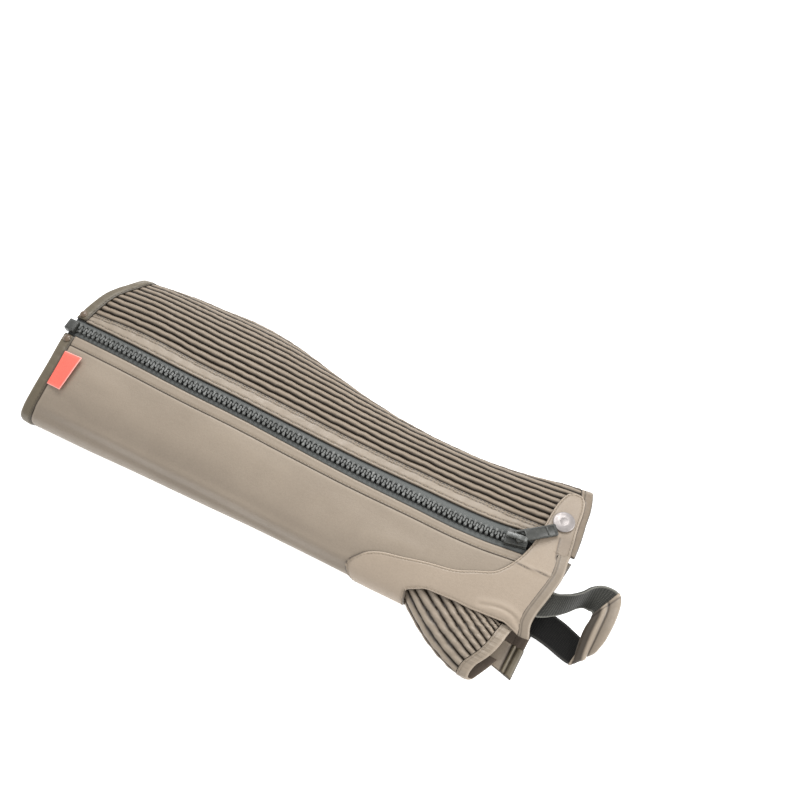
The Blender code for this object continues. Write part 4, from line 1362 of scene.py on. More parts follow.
@dataclass
class Panels:
    """Front panel, zip facings, pleated panel and border strip, cut from the leg."""

    pattern: Pattern
    top_stitches: Stitches
    under_stitches: Stitches
    wall: float = 2.0
    facing_wall: float = 1.2
    facing_rise: float = 0.1
    yoke_lap: float = 5.5
    notch_width: float = 4.0
    pleats: int = 15
    pleat_pitch: float = 5.5
    pleat_depth: float = 2.3
    pleat_wall: float = 3.0
    border_ribs: int = 3
    border_depth: float = 0.75
    length: float = 400.0
    step: float = 2.5
    front_rows: tuple[float, ...] = (1.5,)
    lap: float = 0.3
    turn_down: float = 2.4
    rear_facing: float = 11.5
    sewn_from: float = -213.0
    sewn_to: float = 150.0
    rear_sewn_to: float = 162.0
    under_sewn: tuple[float, float] = (-214.0, 176.0)
    strip_sewn: tuple[float, float] = (-208.0, 172.0)
    top_width: float = 80.0
    under_width: float = 110.0
    box_pull: float = 0.32
    box_margin: float = 1.8
    box_blend: float = 1.5
    box_pitch: float = 2.6
    rear_rows: tuple[float, ...] = (2.5,)
    pleat_rows: tuple[float, ...] = (1.1, 3.1)
    seam_row: float = 2.4

    CREASES = (
        Crease(-222, -66.0, 70, -62.0, 3.0, 1.25, 1.0),
        Crease(-222, -72.5, 84, -69.0, 2.6, -1.0),
        Crease(-205, -28.0, -128, -46.0, 9.0, 0.55, 4.0),
        Crease(-150, -56.0, -62, -50.0, 7.0, -0.45, -3.0),
        Crease(-96, -24.0, -8, -34.0, 8.0, 0.45, 3.0),
        Crease(-52, -52.0, 36, -55.0, 6.0, 0.40, 2.0),
        Crease(8, -22.0, 92, -30.0, 7.0, -0.35, 2.0),
        Crease(44, -44.0, 104, -34.0, 5.0, 0.40, 3.0),
        Crease(-214, -52.0, -176, -60.0, 4.0, -0.50, 2.0),
        Crease(-196, -40.0, -160, -34.0, 5.0, -0.30, -2.0),
        Crease(-214, -96.0, -168, -112.0, 3.4, -0.80, 4.0),
        Crease(-206, -112.0, -150, -124.0, 4.4, -0.90, -5.0),
        Crease(-212, -134.0, -172, -140.0, 3.0, -0.70, 3.0),
        Crease(-198, -152.0, -136, -146.0, 4.6, -0.85, 5.0),
        Crease(-184, -166.0, -150, -172.0, 2.8, -0.60, 2.0),
        Crease(-142, -108.0, -72, -118.0, 5.0, -0.60, 6.0),
        Crease(-108, -150.0, -40, -142.0, 4.0, -0.55, -4.0),
        Crease(-30, -118.0, 48, -126.0, 5.0, -0.55, 4.0),
        Crease(56, -104.0, 112, -112.0, 4.0, -0.60, -3.0),
        Crease(96, -128.0, 150, -118.0, 3.6, -0.65, 3.0),
        Crease(120, -146.0, 168, -140.0, 3.0, -0.60, -2.0),
    )

    PLEAT_START = (0.0, 0.06, 0.13, 0.22)
    PLEAT_END = (0.78, 0.87, 0.94)
    STRAP_BOX = (
        (156.4, -15.6), (174.9, -15.6), (173.7, -37.0), (155.2, -37.0), (173.2, -16.2), (172.0, -36.4),
    )

    def hems(self, x: Array, wrap: Array) -> list[Array]:
        """Distances from the knee's and the ankle's seams."""
        angle = self.pattern.leg.angle(x, wrap)
        return [x - self.pattern.panel_start(angle), self.pattern.panel_end(angle) - x]

    def rows(self) -> Array:
        """Fractions along the leg."""
        return graded(self.length, (0.0, self.length), self.step)

    def sheet(
        self, name: str, grid: tuple[Array, Array], height: Array, deep: Array,
        seam: Array, worn: Array, finishes: tuple[Finish, Finish], kept: Optional[Array] = None,
    ) -> Item:
        """Wall over a grid of places, from its outer and inner heights.

        Args:
            name: name of the piece.
            grid: places along and round the leg.
            height: height of the outer face.
            deep: height of the inner face.
            seam: painted shade at each place, 0 to 1.
            worn: paleness at each place, 0 to 1: wear, selvedges and painted highlights.
            finishes: finish outside and inside.
            kept: cells that are leather.

        Returns:
            The piece.
        """
        cloth = on_leg(self.pattern.leg, name, grid, height, deep, seam, worn, kept)
        return cloth.build(*finishes)

    def front_panel(self) -> Item:
        """Big panel from the zip's front seam round the shin to the inner seam.

        Returns:
            The piece.
        """
        cut, leg = self.pattern, self.pattern.leg
        start, end = cut.panel_start(180.0), cut.panel_end(180.0)
        notch = (cut.notch_x - start) / (end - start)
        side = notch + cut.notch_side / (end - start)
        before = graded(notch * self.length, (0.0,), self.step) * notch
        after = side + (1 - side) * graded((1 - side) * self.length, ((1 - side) * self.length,), self.step)

        def front(x: Array) -> Array:
            """Edge at the zip's front seam."""
            return cut.front_seam(x) - HALF_GAP

        def tucked(x: Array) -> Array:
            """Edge that is tucked under the yoke."""
            return leg.wrap_on_top(x, smooth(YOKE_FRONT, "y", x) + self.yoke_lap)

        def fold(x: Array) -> Array:
            """Line of the shin's fold."""
            return leg.wrap_at(x, 180.0)

        def below_fold(x: Array) -> Array:
            """Line just below the shin's fold, across the notch."""
            return fold(x) - self.notch_width

        def corner(x: Array) -> Array:
            """Edge at the corner's seam."""
            return leg.wrap_under(x, smooth(CORNER_SEAM, "y", x), True) - HALF_GAP

        def inner(x: Array) -> Array:
            """Edge at the inner seam."""
            return cut.inner_seam(x, True) + HALF_GAP

        top = graded(self.top_width, (0.0,), 2.2)
        under = graded(self.under_width, (self.under_width, self.under_width - self.seam_row), 2.4)
        ends = (cut.panel_start, cut.panel_end)
        blocks = []
        for rows, upper, lower in ((before, fold, below_fold), (after, tucked, corner)):
            upper_grid = cut.places(front, upper, top, rows, *ends)
            lower_grid = cut.places(lower, inner, under, rows, *ends)
            blocks.append([np.concatenate(pair, axis=1) for pair in zip(upper_grid, lower_grid)])
        x, wrap = (np.concatenate(pair, axis=0) for pair in zip(*blocks))
        kept = np.ones((x.shape[0] - 1, x.shape[1] - 1), bool)
        kept[len(before) - 1:, len(top) - 1] = False

        edges = [front(x) - wrap, wrap - inner(x), *self.hems(x, wrap)]
        ridges = creased(self.CREASES, x, wrap)
        height = ridges + edge_drop(edges) + trough(edges[1] - self.seam_row)
        height = height + 0.12 * wander(x, 3) * bump(wrap + 40, 25)
        height = height - self.box_pull * self.strap_patch(x, wrap)
        # Paler on the raised creases and just inside the edges: wear and painted highlights on the lit
        # ridges.
        worn = np.clip(edge_wear_and_highlight(edges) + np.clip(ridges, 0, 1) * 0.35, 0, 1)
        line = np.linspace(*self.under_sewn, 300)
        self.sew_under(line, inner(line) + self.seam_row)
        # Painted shade, darker towards the shin's fold, on top of the painted shade at the edges.
        shaded = 0.2 * np.clip((-wrap - 40.0) / 25.0, 0, 1) * np.clip((wrap + 135.0) / 30.0, 0, 1)
        return self.sheet(
            "front_panel", (x, wrap), height, np.full_like(x, -self.wall), edge_shade(edges) + shaded, worn,
            (Finish.LEATHER, Finish.FLESH), kept,
        )

    def sew_under(self, x: Array, wrap: Array, pitch: float = 0.0) -> None:
        """Sew a row on the underside, as far as the panels reach between the hems.

        Args:
            x: places along the leg, in mm.
            wrap: places round the leg, in mm.
            pitch: distance apart in mm, or 0 for the usual.
        """
        kept = np.minimum(*self.hems(x, wrap)) > self.seam_row
        leg = self.pattern.leg
        self.under_stitches.sew(leg.point(x, wrap)[kept], leg.normal(x, wrap)[kept], pitch)

    def strap_patch(self, x: Array, wrap: Array) -> Array:
        """How far the strap's box pulls in the leather of the underside, 1 inside it.

        Args:
            x: places along the leg, in mm.
            wrap: places round the leg, in mm.

        Returns:
            The share, 0 to 1.
        """
        spot = self.pattern.leg.point(x, wrap)
        corners = np.array(self.STRAP_BOX)
        low, high = corners.min(axis=0), corners.max(axis=0)
        inside = np.concatenate([spot[..., :2] - low, high - spot[..., :2]], axis=-1).min(axis=-1)
        return np.clip((inside + self.box_margin) / self.box_blend, 0, 1) * (spot[..., 2] < 1.0)

    def strap_box(self) -> None:
        """Sew the crossed box that holds the strap's end, with a second row at its ankle side."""
        leg = self.pattern.leg
        corners = [np.array(corner) for corner in self.STRAP_BOX]
        for first, last in ((0, 1), (1, 2), (2, 3), (3, 0), (0, 2), (1, 3), (4, 5)):
            share = np.linspace(0.03, 0.97, 24)[:, None]
            x, y = (corners[first] * (1 - share) + corners[last] * share).T
            self.sew_under(x, leg.wrap_under(x, y, True), self.box_pitch)

    def facing(self, side: Side) -> Item:
        """Strip of leather between the zip's tape and its seam, with its rows of stitches.

        Args:
            side: side of the zip.

        Returns:
            The piece.
        """
        cut, leg = self.pattern, self.pattern.leg
        front = side is Side.FRONT

        def seam(x: Array) -> Array:
            """Edge at the row of stitches."""
            return cut.front_seam(x) - self.lap if front else cut.first_pleat(x) + self.lap

        def tape(x: Array) -> Array:
            """Edge at the zip's tape."""
            return cut.tape_side(x, side)

        stitched = self.front_rows if front else self.pleat_rows
        from_tape = () if front else self.rear_rows
        wide = cut.facing if front else self.rear_facing
        marks = [0.0, *stitched, *[wide - d for d in from_tape], wide]
        columns = graded(wide, marks, 0.9, 0.4, 0.9)
        x, wrap = cut.places(seam, tape, columns, self.rows(), cut.panel_start, cut.panel_end)
        from_seam, to_tape = np.abs(wrap - seam(x)), np.abs(wrap - tape(x))
        hems = self.hems(x, wrap)
        height = self.facing_rise + edge_drop([from_seam, *hems]) + edge_drop([to_tape], 0.75, 1.1)
        height = height + 0.10 * wander(x, 20 + side.value, 1.0, 0.3)
        height = height + 0.22 * bump(to_tape - 1.3, 0.8)
        line = np.linspace(self.sewn_from, self.sewn_to if front else self.rear_sewn_to, 420)
        rows = [(from_seam, seam, -side.value, distance) for distance in stitched]
        rows += [(to_tape, tape, side.value, distance) for distance in from_tape]
        for away, edge, towards, distance in rows:
            height = height + trough(away - distance, 0.30, 0.55)
            row = edge(line) + towards * distance
            self.top_stitches.sew(leg.point(line, row, self.facing_rise), leg.normal(line, row))
        # Painted shade at the seam, at the tape's edge and the hems, and along the pulled-in rows of
        # stitches.
        painted_shade = edge_shade([from_seam], 0.75) + edge_shade([to_tape, *hems], 0.4)
        for distance in stitched:
            painted_shade = painted_shade + (0.06 if front else 0.8) * bump(from_seam - distance, 0.55)
        for distance in from_tape:
            painted_shade = painted_shade + 0.8 * bump(to_tape - distance + 0.25 * wander(x, 47, 1.0, 0.12), 0.5)
        turned_down = 0.0 if front else self.turn_down
        turned_down = turned_down * rolled(from_seam, 1.6)
        if not front:
            height = height + 0.48 * wander(x, 45, 1.0, 0.20) * bump(from_seam - 3.0, 3.0)
            height = height + 0.34 * wander(x, 46, 1.0, 0.16) * bump(to_tape - 2.5, 1.6)
        # The lip at the tape's edge is paler: wear and a painted highlight.
        return self.sheet(
            f"zip_facing_{side.name.lower()}_leather", (x, wrap), height,
            self.facing_rise - self.facing_wall - turned_down, np.clip(painted_shade, 0, 0.96),
            edge_wear_and_highlight([to_tape], 1.1, 0.6), (Finish.LEATHER, Finish.FLESH),
        )

    def pleated_panel(self) -> Item:
        """Elastic panel of round pleats from the zip's rear facing round the calf.

        Returns:
            The piece.
        """
        cut = self.pattern
        share = np.concatenate([self.PLEAT_START, np.linspace(0.34, 0.66, 4), self.PLEAT_END])
        columns = np.append((np.arange(self.pleats)[:, None] + share).reshape(-1), self.pleats)

        def first(x: Array) -> Array:
            """Edge at the first pleat."""
            return cut.first_pleat(x) + HALF_GAP

        def last(x: Array) -> Array:
            """Edge after the last pleat."""
            return cut.first_pleat(x) + self.pleats * self.pleat_pitch

        x, wrap = cut.places(
            first, last, columns / self.pleats, self.rows(), cut.panel_start, cut.panel_end,
        )
        number = np.clip(columns.astype(int), 0, self.pleats - 1)
        place = columns - number
        grooves = np.stack([
            wander(x[:, 0], 100 + k, 0.50 - 0.02 * k, 0.8) + wander(x[:, 0], 150 + k, 0.22 - 0.01 * k, 0.25)
            for k in range(self.pleats + 1)
        ])
        drift = grooves[number].T * (1 - place) + grooves[np.minimum(number + 1, self.pleats)].T * place
        inside = (columns > 0.5) & (columns < self.pleats - 0.5)
        wrap = np.minimum(wrap + drift * inside, cut.border_seam(x) - HALF_GAP)
        ridge = np.sin(math.pi * np.clip(place + 0.06 * np.sin(2 * math.pi * place), 0, 1)) ** 0.78
        swell = np.stack([0.22 * wander(x[:, 0], 200 + k, 1.0, 0.6) for k in range(self.pleats)])[number].T
        pucker = np.stack([wander(x[:, 0], 300 + k, 0.16, 0.12) for k in range(self.pleats)])[number].T
        height = -self.pleat_depth * (1 - ridge) + (swell + pucker - 0.1) * ridge
        hems = self.hems(x, wrap)
        border = cut.border_seam(x) - HALF_GAP - wrap
        height = height + edge_drop([*hems, border], 0.7, 1.8)
        # Painted shade in the pleats' grooves and at the edges; painted highlights on the pleats' ridges.
        seam = np.clip((1 - ridge) * 3.0 - 0.1, 0, 1) + edge_shade([*hems, border], 0.5)
        worn = ridge ** 6 * 0.7 + np.zeros_like(x)
        return self.sheet(
            "pleated_panel", (x, wrap), height, np.full_like(x, -self.pleat_wall),
            np.clip(seam, 0, 0.96) + np.zeros_like(x), worn, (Finish.PLEAT, Finish.LINING),
        )

    def border_strip(self) -> Item:
        """Ribbed strip on the inner side between the pleats and the inner seam.

        Returns:
            The piece.
        """
        cut = self.pattern
        wide = cut.border - 2 * HALF_GAP
        rib = wide / self.border_ribs
        grooves = [rib * k for k in range(1, self.border_ribs)]
        rows_of_thread = [wide - self.seam_row, wide - 2.2 * self.seam_row, *[g - 1.6 for g in grooves]]
        marks = [0.0, *grooves, *rows_of_thread, wide]
        columns = graded(wide, marks, 1.6, 0.5, 1.1)

        def first(x: Array) -> Array:
            """Edge at the strip's seam."""
            return cut.border_seam(x) + HALF_GAP

        def last(x: Array) -> Array:
            """Edge at the first pleat's side."""
            return first(x) + wide

        x, wrap = cut.places(first, last, columns, self.rows(), cut.panel_start, cut.panel_end)
        across = wrap - first(x)
        height = edge_drop([across, wide - across, *self.hems(x, wrap)], 0.6, 1.5)
        for groove in grooves:
            height = height - self.border_depth * bump(across - groove - 0.3 * wander(x, int(groove)), 0.7)
        line = np.linspace(*self.strip_sewn, 300)
        for row in rows_of_thread:
            height = height + trough(across - row)
            self.sew_under(line, first(line) + row)
        # Painted shade at the edges and in the ribs' grooves; paler ridges beside them, wear and painted
        # highlights.
        edges = [across, wide - across, *[np.abs(across - g) for g in grooves]]
        return self.sheet(
            "border_strip", (x, wrap), height, np.full_like(x, -self.wall - 0.7), edge_shade(edges, 0.5),
            edge_wear_and_highlight(edges), (Finish.PLEAT, Finish.FLESH),
        )


@dataclass
class Bindings:
    """Turned hems at the knee and at the ankle behind the yoke."""

    pattern: Pattern
    top_stitches: Stitches
    clearance: float = 0.6
    zip_opening: float = 4.6
    pucker: float = 0.3
    lap: float = 0.6
    thinnest: float = 0.4
    sewn_above: float = 6.0

    KNEE_OUTER = (
        (0.0, -1.0), (0.04, -0.2), (0.14, 0.45), (0.35, 0.68), (0.65, 0.72), (0.88, 0.45), (1.0, -0.15),
    )
    KNEE_INNER = ((0.0, -1.4), (0.04, -2.1), (0.14, -2.55), (0.5, -2.8), (1.0, -2.3))
    ANKLE_OUTER = ((0.0, -0.5), (0.12, -0.05), (0.5, 0.05), (0.85, -0.1), (0.96, -0.6), (1.0, -1.2))
    ANKLE_INNER = ((0.0, -2.2), (0.4, -2.8), (0.85, -2.7), (0.96, -2.2), (1.0, -1.6))

    def hem(
        self, name: str, first: AlongLeg, last: AlongLeg, start: AlongLeg, end: AlongLeg,
        outer: Sequence[tuple[float, float]], inner: Sequence[tuple[float, float]], row: float,
    ) -> Item:
        """Band along a hem.

        Args:
            name: the piece's name.
            first: wrap distance where it starts, for x.
            last: wrap distance where it ends, for x.
            start: x of its first edge, for an angle.
            end: x of its last edge, for an angle.
            outer: outer height at fractions across it.
            inner: inner height at fractions across it.
            row: fraction across it where it is stitched.

        Returns:
            The band.
        """
        leg = self.pattern.leg
        middle = np.array(0.0)
        long = float(abs(last(middle) - first(middle)))
        columns = graded(long, (0.0, long), 1.3, 0.4, 1.2)
        rows = np.unique(np.concatenate([np.linspace(0, 1, 14), [0.02, 0.05, 0.1, 0.95, 0.98]]))
        x, wrap = self.pattern.places(first, last, columns, rows, start, end)
        shape = [np.interp(rows, *zip(*profile))[:, None] for profile in (outer, inner)]
        ends = [np.abs(wrap - first(x)), np.abs(wrap - last(x))]
        across = rows[:, None]
        pucker = self.pucker * wander(wrap, 41, 1.0, 0.14) * np.sin(math.pi * across)
        height = shape[0] + pucker + edge_drop(ends, 0.7, 1.2) + trough(8.0 * (across - row), 0.25, 0.7)
        # Painted shade along both edges and the row of stitches; paler ridge near the first edge, wear and a
        # painted highlight.
        seam = 0.85 * bump(across * 9, 0.5) * (outer is self.ANKLE_OUTER) + 0.9 * bump((1 - across) * 9, 0.7)
        seam = seam + 0.5 * bump((across - row) * 9, 0.45)
        worn = 0.7 * bump((across - 0.1) * 9, 0.8) + np.zeros_like(x)
        deep = np.minimum(shape[1], height - self.thinnest)
        seam = np.clip(seam + edge_shade(ends, 0.4), 0, 1)
        cloth = on_leg(leg, name, (x, wrap), height, deep, seam, worn)
        place = int(np.argmin(np.abs(rows - row)))
        spots = leg.point(x[place], wrap[place], shape[0][place, 0])
        normals = leg.normal(x[place], wrap[place])
        upper = spots[:, 2] > self.sewn_above
        for run in np.split(np.arange(len(spots)), np.flatnonzero(np.diff(upper)) + 1):
            if upper[run[0]]:
                self.top_stitches.sew(spots[run], normals[run])
        return cloth.build(Finish.PLEAT if name.endswith("rear") else Finish.BINDING, Finish.FLESH)

    def knee(self) -> Item:
        """Binding round the knee, from one side of the zip to the other.

        Returns:
            The piece.
        """
        cut = self.pattern
        inset = cut.tape_edge + self.clearance
        return self.hem(
            "knee_hem", lambda x: np.full_like(x, inset), lambda x: cut.leg.girth(x) - inset,
            cut.knee_edge, lambda angle: cut.knee_seam(angle) + self.lap,
            self.KNEE_OUTER, self.KNEE_INNER, 0.84,
        )

    def ankle(self, side: Side) -> Item:
        """Hem of one side of the ankle, under the yoke's hem.

        Args:
            side: side of the ankle.

        Returns:
            The piece.
        """
        cut = self.pattern
        if side is Side.FRONT:
            first, last = -cut.tape_edge - cut.facing, -HALF_GAP
            ends = (lambda x: np.full_like(x, first), lambda x: np.full_like(x, last))
        else:
            opening = self.zip_opening
            ends = (
                lambda x: np.full_like(x, opening),
                lambda x: cut.leg.wrap_under(x, smooth(CORNER_SEAM, "y", x), False),
            )
        return self.hem(
            f"ankle_hem_{side.name.lower()}", *ends, lambda angle: cut.ankle_seam(angle) - self.lap,
            cut.ankle_edge, self.ANKLE_OUTER, self.ANKLE_INNER, 0.3,
        )


# The ankle's pieces and the strap

class YokeRow(NamedTuple):
    """Ends of the yoke at y: its stitched edge, and its free edge where it has one."""

    y: float
    left: float
    right: Optional[float]


class YokeWrap(NamedTuple):
    """Stitched edge of the yoke where it goes round the shin."""

    share: float
    left: float


@dataclass
class Yoke:
    """Overlay round the front of the ankle, with its snap tab and its turned hem."""

    pattern: Pattern
    stitches: Stitches
    lift: float = 0.5
    wall: float = 1.4
    front_share: float = 0.34
    wrap_x: float = 72.0
    corner_x: float = 94.6
    corner_slant: float = 2.8
    front_angle: float = 142.0
    under_y: float = -53.5
    band_top: float = 21.5
    row: float = 1.7
    pitch: float = 2.7
    below_pitch: float = 2.4
    front_column: int = 23
    hem_width: float = 8.0
    hem_row: float = 1.9
    hem_rise: float = 1.78
    hem_lap: float = 0.45
    hem_shade: float = 0.12

    ROWS = (
        YokeRow(70.6, 172.5, 177.0), YokeRow(69.3, 168.8, 179.3), YokeRow(66.8, 166.8, 181.0),
        YokeRow(62.5, 165.0, 182.6), YokeRow(56.5, 163.6, 183.8), YokeRow(49.0, 162.8, 184.6),
        YokeRow(40.0, 162.4, 185.8), YokeRow(32.0, 162.2, 187.4), YokeRow(24.0, 161.4, 188.4),
        YokeRow(20.4, 160.9, 189.0), YokeRow(19.8, 160.8, None), YokeRow(13.0, 159.4, None),
        YokeRow(2.2, 155.5, None), YokeRow(-4.7, 151.5, None), YokeRow(-12.5, 144.5, None),
        YokeRow(-17.4, 133.6, None), YokeRow(-23.3, 120.7, None), YokeRow(-27.2, 101.0, None),
        YokeRow(-32.0, 81.0, None), YokeRow(-35.7, 65.0, None), YokeRow(-39.5, 57.0, None),
    )
    ROUND_SHIN = (
        YokeWrap(0.0, 51.5), YokeWrap(0.25, 46.5), YokeWrap(0.5, 48.5), YokeWrap(0.75, 54.0),
        YokeWrap(1.0, 64.0),
    )
    BAND = ((0.0, 1.95), (0.12, 2.3), (0.35, 2.5), (0.8, 2.5), (1.0, 2.3))
    FACING_BELOW = (Line(152, -0.5), Line(163, 0.2), Line(174, 1.2), Line(183, 2.0))
    HEM_ABOVE = (Line(176.4, 31.5), Line(177.6, 25.2), Line(180.1, 15.5))
    FOLD = (Line(146, -37.4), Line(155, -34.8), Line(164, -33.7), Line(173, -35.6), Line(180, -41.2))

    def coarse(self) -> Array:
        """Coarse grid of places from the tab's end to the shin and round it.

        Returns:
            Places along and round the leg.
        """
        cut, leg = self.pattern, self.pattern.leg
        columns = np.concatenate([
            np.linspace(0, self.front_share, 4), np.linspace(self.front_share, 1.0, 8)[1:],
        ])
        rows = []
        for row in self.ROWS:
            x = np.full_like(columns, row.left)
            wrap = x
            for _ in range(3):
                wrap = leg.wrap_on_top(x, row.y)
                hem = cut.yoke_seam(leg.angle(x, wrap)) - HALF_GAP
                right = hem if row.right is None else row.right
                x = row.left + columns * (right - row.left)
            rows.append(np.stack([x, wrap], axis=-1))
        here = np.array(self.wrap_x)
        top_here = leg.wrap_on_top(here, smooth(YOKE_FRONT, "y", here))
        under_here = leg.wrap_under(here, self.under_y, True)
        for share in np.linspace(0, 1, max(3, int(abs(under_here - top_here) / 3.5))):
            left = float(smooth(self.ROUND_SHIN, "left", share))
            end = float(cut.yoke_seam(self.front_angle)) - HALF_GAP
            corner = self.corner_x + self.corner_slant * share
            near = left + columns / self.front_share * (corner - left)
            far = corner + (columns - self.front_share) / (1 - self.front_share) * (end - corner)
            x = np.where(columns <= self.front_share + 1e-9, near, far)
            top = leg.wrap_on_top(x, smooth(YOKE_FRONT, "y", x))
            rows.append(np.stack([x, top + share * (leg.wrap_under(x, self.under_y, True) - top)], axis=-1))
        return np.array(rows)

    def overlay(self) -> Item:
        """The yoke's leather over the ankle, finer than its pattern's grid.

        Returns:
            The piece.
        """
        leg = self.pattern.leg
        coarse = self.coarse()
        steps = np.linalg.norm(np.diff(coarse, axis=0), axis=-1).mean(1)
        keys = np.concatenate([[0.0], np.cumsum(steps)])
        shin = keys[len(self.ROWS)]
        round_shin = shin + np.linspace(0, 1, 16)[1:] * (keys[-1] - shin)
        rows = np.concatenate([graded(shin, (0.0, shin), 1.3) * shin, round_shin])
        grid = hermite(keys, coarse, rows)
        across = np.concatenate([np.linspace(0, 3, self.front_column + 1), np.linspace(3, 10, 42)[1:]])
        low = np.clip(across.astype(int), 0, 9)
        share = (across - low)[None, :, None]
        grid = grid[:, low] * (1 - share) + grid[:, low + 1] * share
        kept = np.ones((grid.shape[0] - 1, grid.shape[1] - 1), bool)
        kept[int(np.searchsorted(rows, shin)):, self.front_column:] = False

        tab_rows = int(np.searchsorted(rows, keys[self._hem_row()]))
        front_row = int(np.searchsorted(rows, shin))
        stitched = np.concatenate([grid[tab_rows::-1, -1], grid[0, ::-1], grid[:, 0]])
        column = self.front_column
        front = np.concatenate([grid[:front_row:-1, column], grid[front_row, column:]])
        x, wrap = grid[..., 0], grid[..., 1]
        to_edge, to_front = from_line(grid, stitched[::2]), from_line(grid, front[::2])
        below = from_line(grid, self._on_top(self.FACING_BELOW))
        fold = from_line(grid, self._on_top(self.FOLD))
        fold_up = from_line(grid, self._on_top(self.HEM_ABOVE))
        height = self.lift + self.wall + 0.42 * bump(below - 0.7, 0.8) - 0.3 * bump(below, 0.5)
        height = height + 0.6 * bump(fold - 2.2, 2.6) - 0.45 * bump(fold, 1.4) - 0.35 * bump(fold_up, 0.9)
        height = height + 0.18 * wander(x, 61) * bump(to_edge - 22, 14)
        height = height + edge_drop([to_edge, to_front], 0.95, 1.3) + trough(to_edge - self.row, 0.34, 0.7)
        height = height + trough(to_front - self.row, 0.3, 0.7)
        # Painted shade on the tab, darker towards its end, and beyond the hem's fold line.
        y = leg.point(x, wrap, 0 * x)[..., 1]
        fold_x, fold_y = zip(*self.HEM_ABOVE[::-1])
        beyond = np.clip(x - np.interp(y, fold_y, fold_x), 0, 1)
        hem_shade = 0.2 * beyond * np.clip((40.0 - y) / 9.0, 0, 1) * (y > 12)
        tab_painted_shade = 0.16 * np.clip((y - 8.0) / 30.0, 0, 1) + hem_shade
        # Painted shade in the seams, along the stitched line below, in the fold line's crease and along the
        # rows of stitches.
        seam = edge_shade([to_edge, to_front], 0.3) + tab_painted_shade + 0.85 * bump(below, 0.5)
        seam = seam + 0.5 * bump(fold_up, 0.6)
        seam = seam + 0.3 * bump(to_edge - self.row, 0.4) + 0.3 * bump(to_front - self.row, 0.4)
        seam = np.clip(seam, 0, 0.95)
        # Paler rolled edges and fold ridge: wear and painted highlights.
        worn = 0.9 * bump(to_edge - 0.75, 0.5) + 0.9 * bump(to_front - 0.75, 0.5)
        worn = worn + 0.25 * bump(fold - 2.4, 1.6)
        self._sew(stitched, front)
        deep = np.full_like(x, self.lift)
        cloth = on_leg(leg, "yoke_leather", (x, wrap), height, deep, seam, np.clip(worn, 0, 1), kept)
        line = self._on_top(self.FACING_BELOW)
        spots = leg.point(line[:, 0], line[:, 1], self.lift + self.wall)
        self.stitches.sew(spots, leg.normal(line[:, 0], line[:, 1]), self.below_pitch)
        return cloth.build(Finish.PALE, Finish.FLESH)

    def _hem_row(self) -> int:
        """Number of the first row that ends at the hem's fold line."""
        return next(k for k, row in enumerate(self.ROWS) if row.right is None) - 1

    def _on_top(self, table: Sequence[Line]) -> Array:
        """Places of a line that is drawn on the leg seen from above."""
        x = np.linspace(table[0].x, table[-1].x, 40)
        return np.stack([x, self.pattern.leg.wrap_on_top(x, smooth(table, "y", x))], axis=-1)

    def _sew(self, stitched: Array, front: Array) -> None:
        """Stitch along the upper edge, round the tab and along the front edge."""
        leg = self.pattern.leg
        for line in (stitched, front):
            row = inset_line(line, -self.row)
            spots = leg.point(row[:, 0], row[:, 1], self.lift + self.wall)
            self.stitches.sew(spots, leg.normal(row[:, 0], row[:, 1]), self.pitch)

    def hem(self) -> Item:
        """Turned hem of the yoke, stitched along its fold line.

        Returns:
            The piece.
        """
        cut, leg = self.pattern, self.pattern.leg

        def top(x: Array) -> Array:
            """Edge at the zip's end."""
            return leg.wrap_on_top(x, self.band_top)

        def front(x: Array) -> Array:
            """Edge at the yoke's front."""
            return leg.wrap_on_top(x, smooth(YOKE_FRONT, "y", x))

        columns, rows = np.linspace(0, 1, 56), np.unique(np.append(np.linspace(0, 1, 16), [0.03, 0.97]))
        x, wrap = cut.places(
            top, front, columns, rows, lambda angle: cut.yoke_seam(angle) - self.hem_lap, cut.yoke_edge,
        )
        across = self.hem_width * rows[:, None]
        to_fold = self.hem_width * (1 - rows[:, None])
        to_row = across - self.hem_row
        tuck = np.clip(np.abs(wrap - top(x)) / 12.0, 0, 1)
        tuck = tuck * tuck * (3 - 2 * tuck)
        profile = self.hem_rise + tuck * (np.interp(rows, *zip(*self.BAND))[:, None] - self.hem_rise)
        height = profile + trough(to_row, 0.35, 0.6) * tuck
        height = height + 0.12 * wander(wrap, 77, 1.0, 0.3) * tuck
        height = height + edge_drop([np.abs(wrap - front(x)), to_fold], 0.7, 1.2)
        # Painted shade at the hem's edge and along its row of stitches; paler fold, wear and a painted
        # highlight.
        seam = 0.65 * bump(across, 0.5) * tuck + 0.45 * bump(to_row, 0.4) + np.zeros_like(x)
        worn = 0.9 * bump(to_fold - 0.9, 0.6) + np.zeros_like(x)
        row = np.argmin(np.abs(rows - self.hem_row / self.hem_width))
        spots = leg.point(x[row], wrap[row], profile[row, 0])
        self.stitches.sew(spots, leg.normal(x[row], wrap[row]), self.pitch)
        deep = np.full_like(x, self.lift)
        # hem_shade darkens the whole hem with painted shade.
        cloth = on_leg(leg, "yoke_hem", (x, wrap), height, deep, seam + self.hem_shade, worn)
        return cloth.build(Finish.LEATHER, Finish.FLESH)


class Rib(NamedTuple):
    """Groove of the gusset, from under the yoke to its hem."""

    start_x: float
    start_y: float
    start_z: float
    end_x: float
    end_y: float
    end_z: float
    bow: float


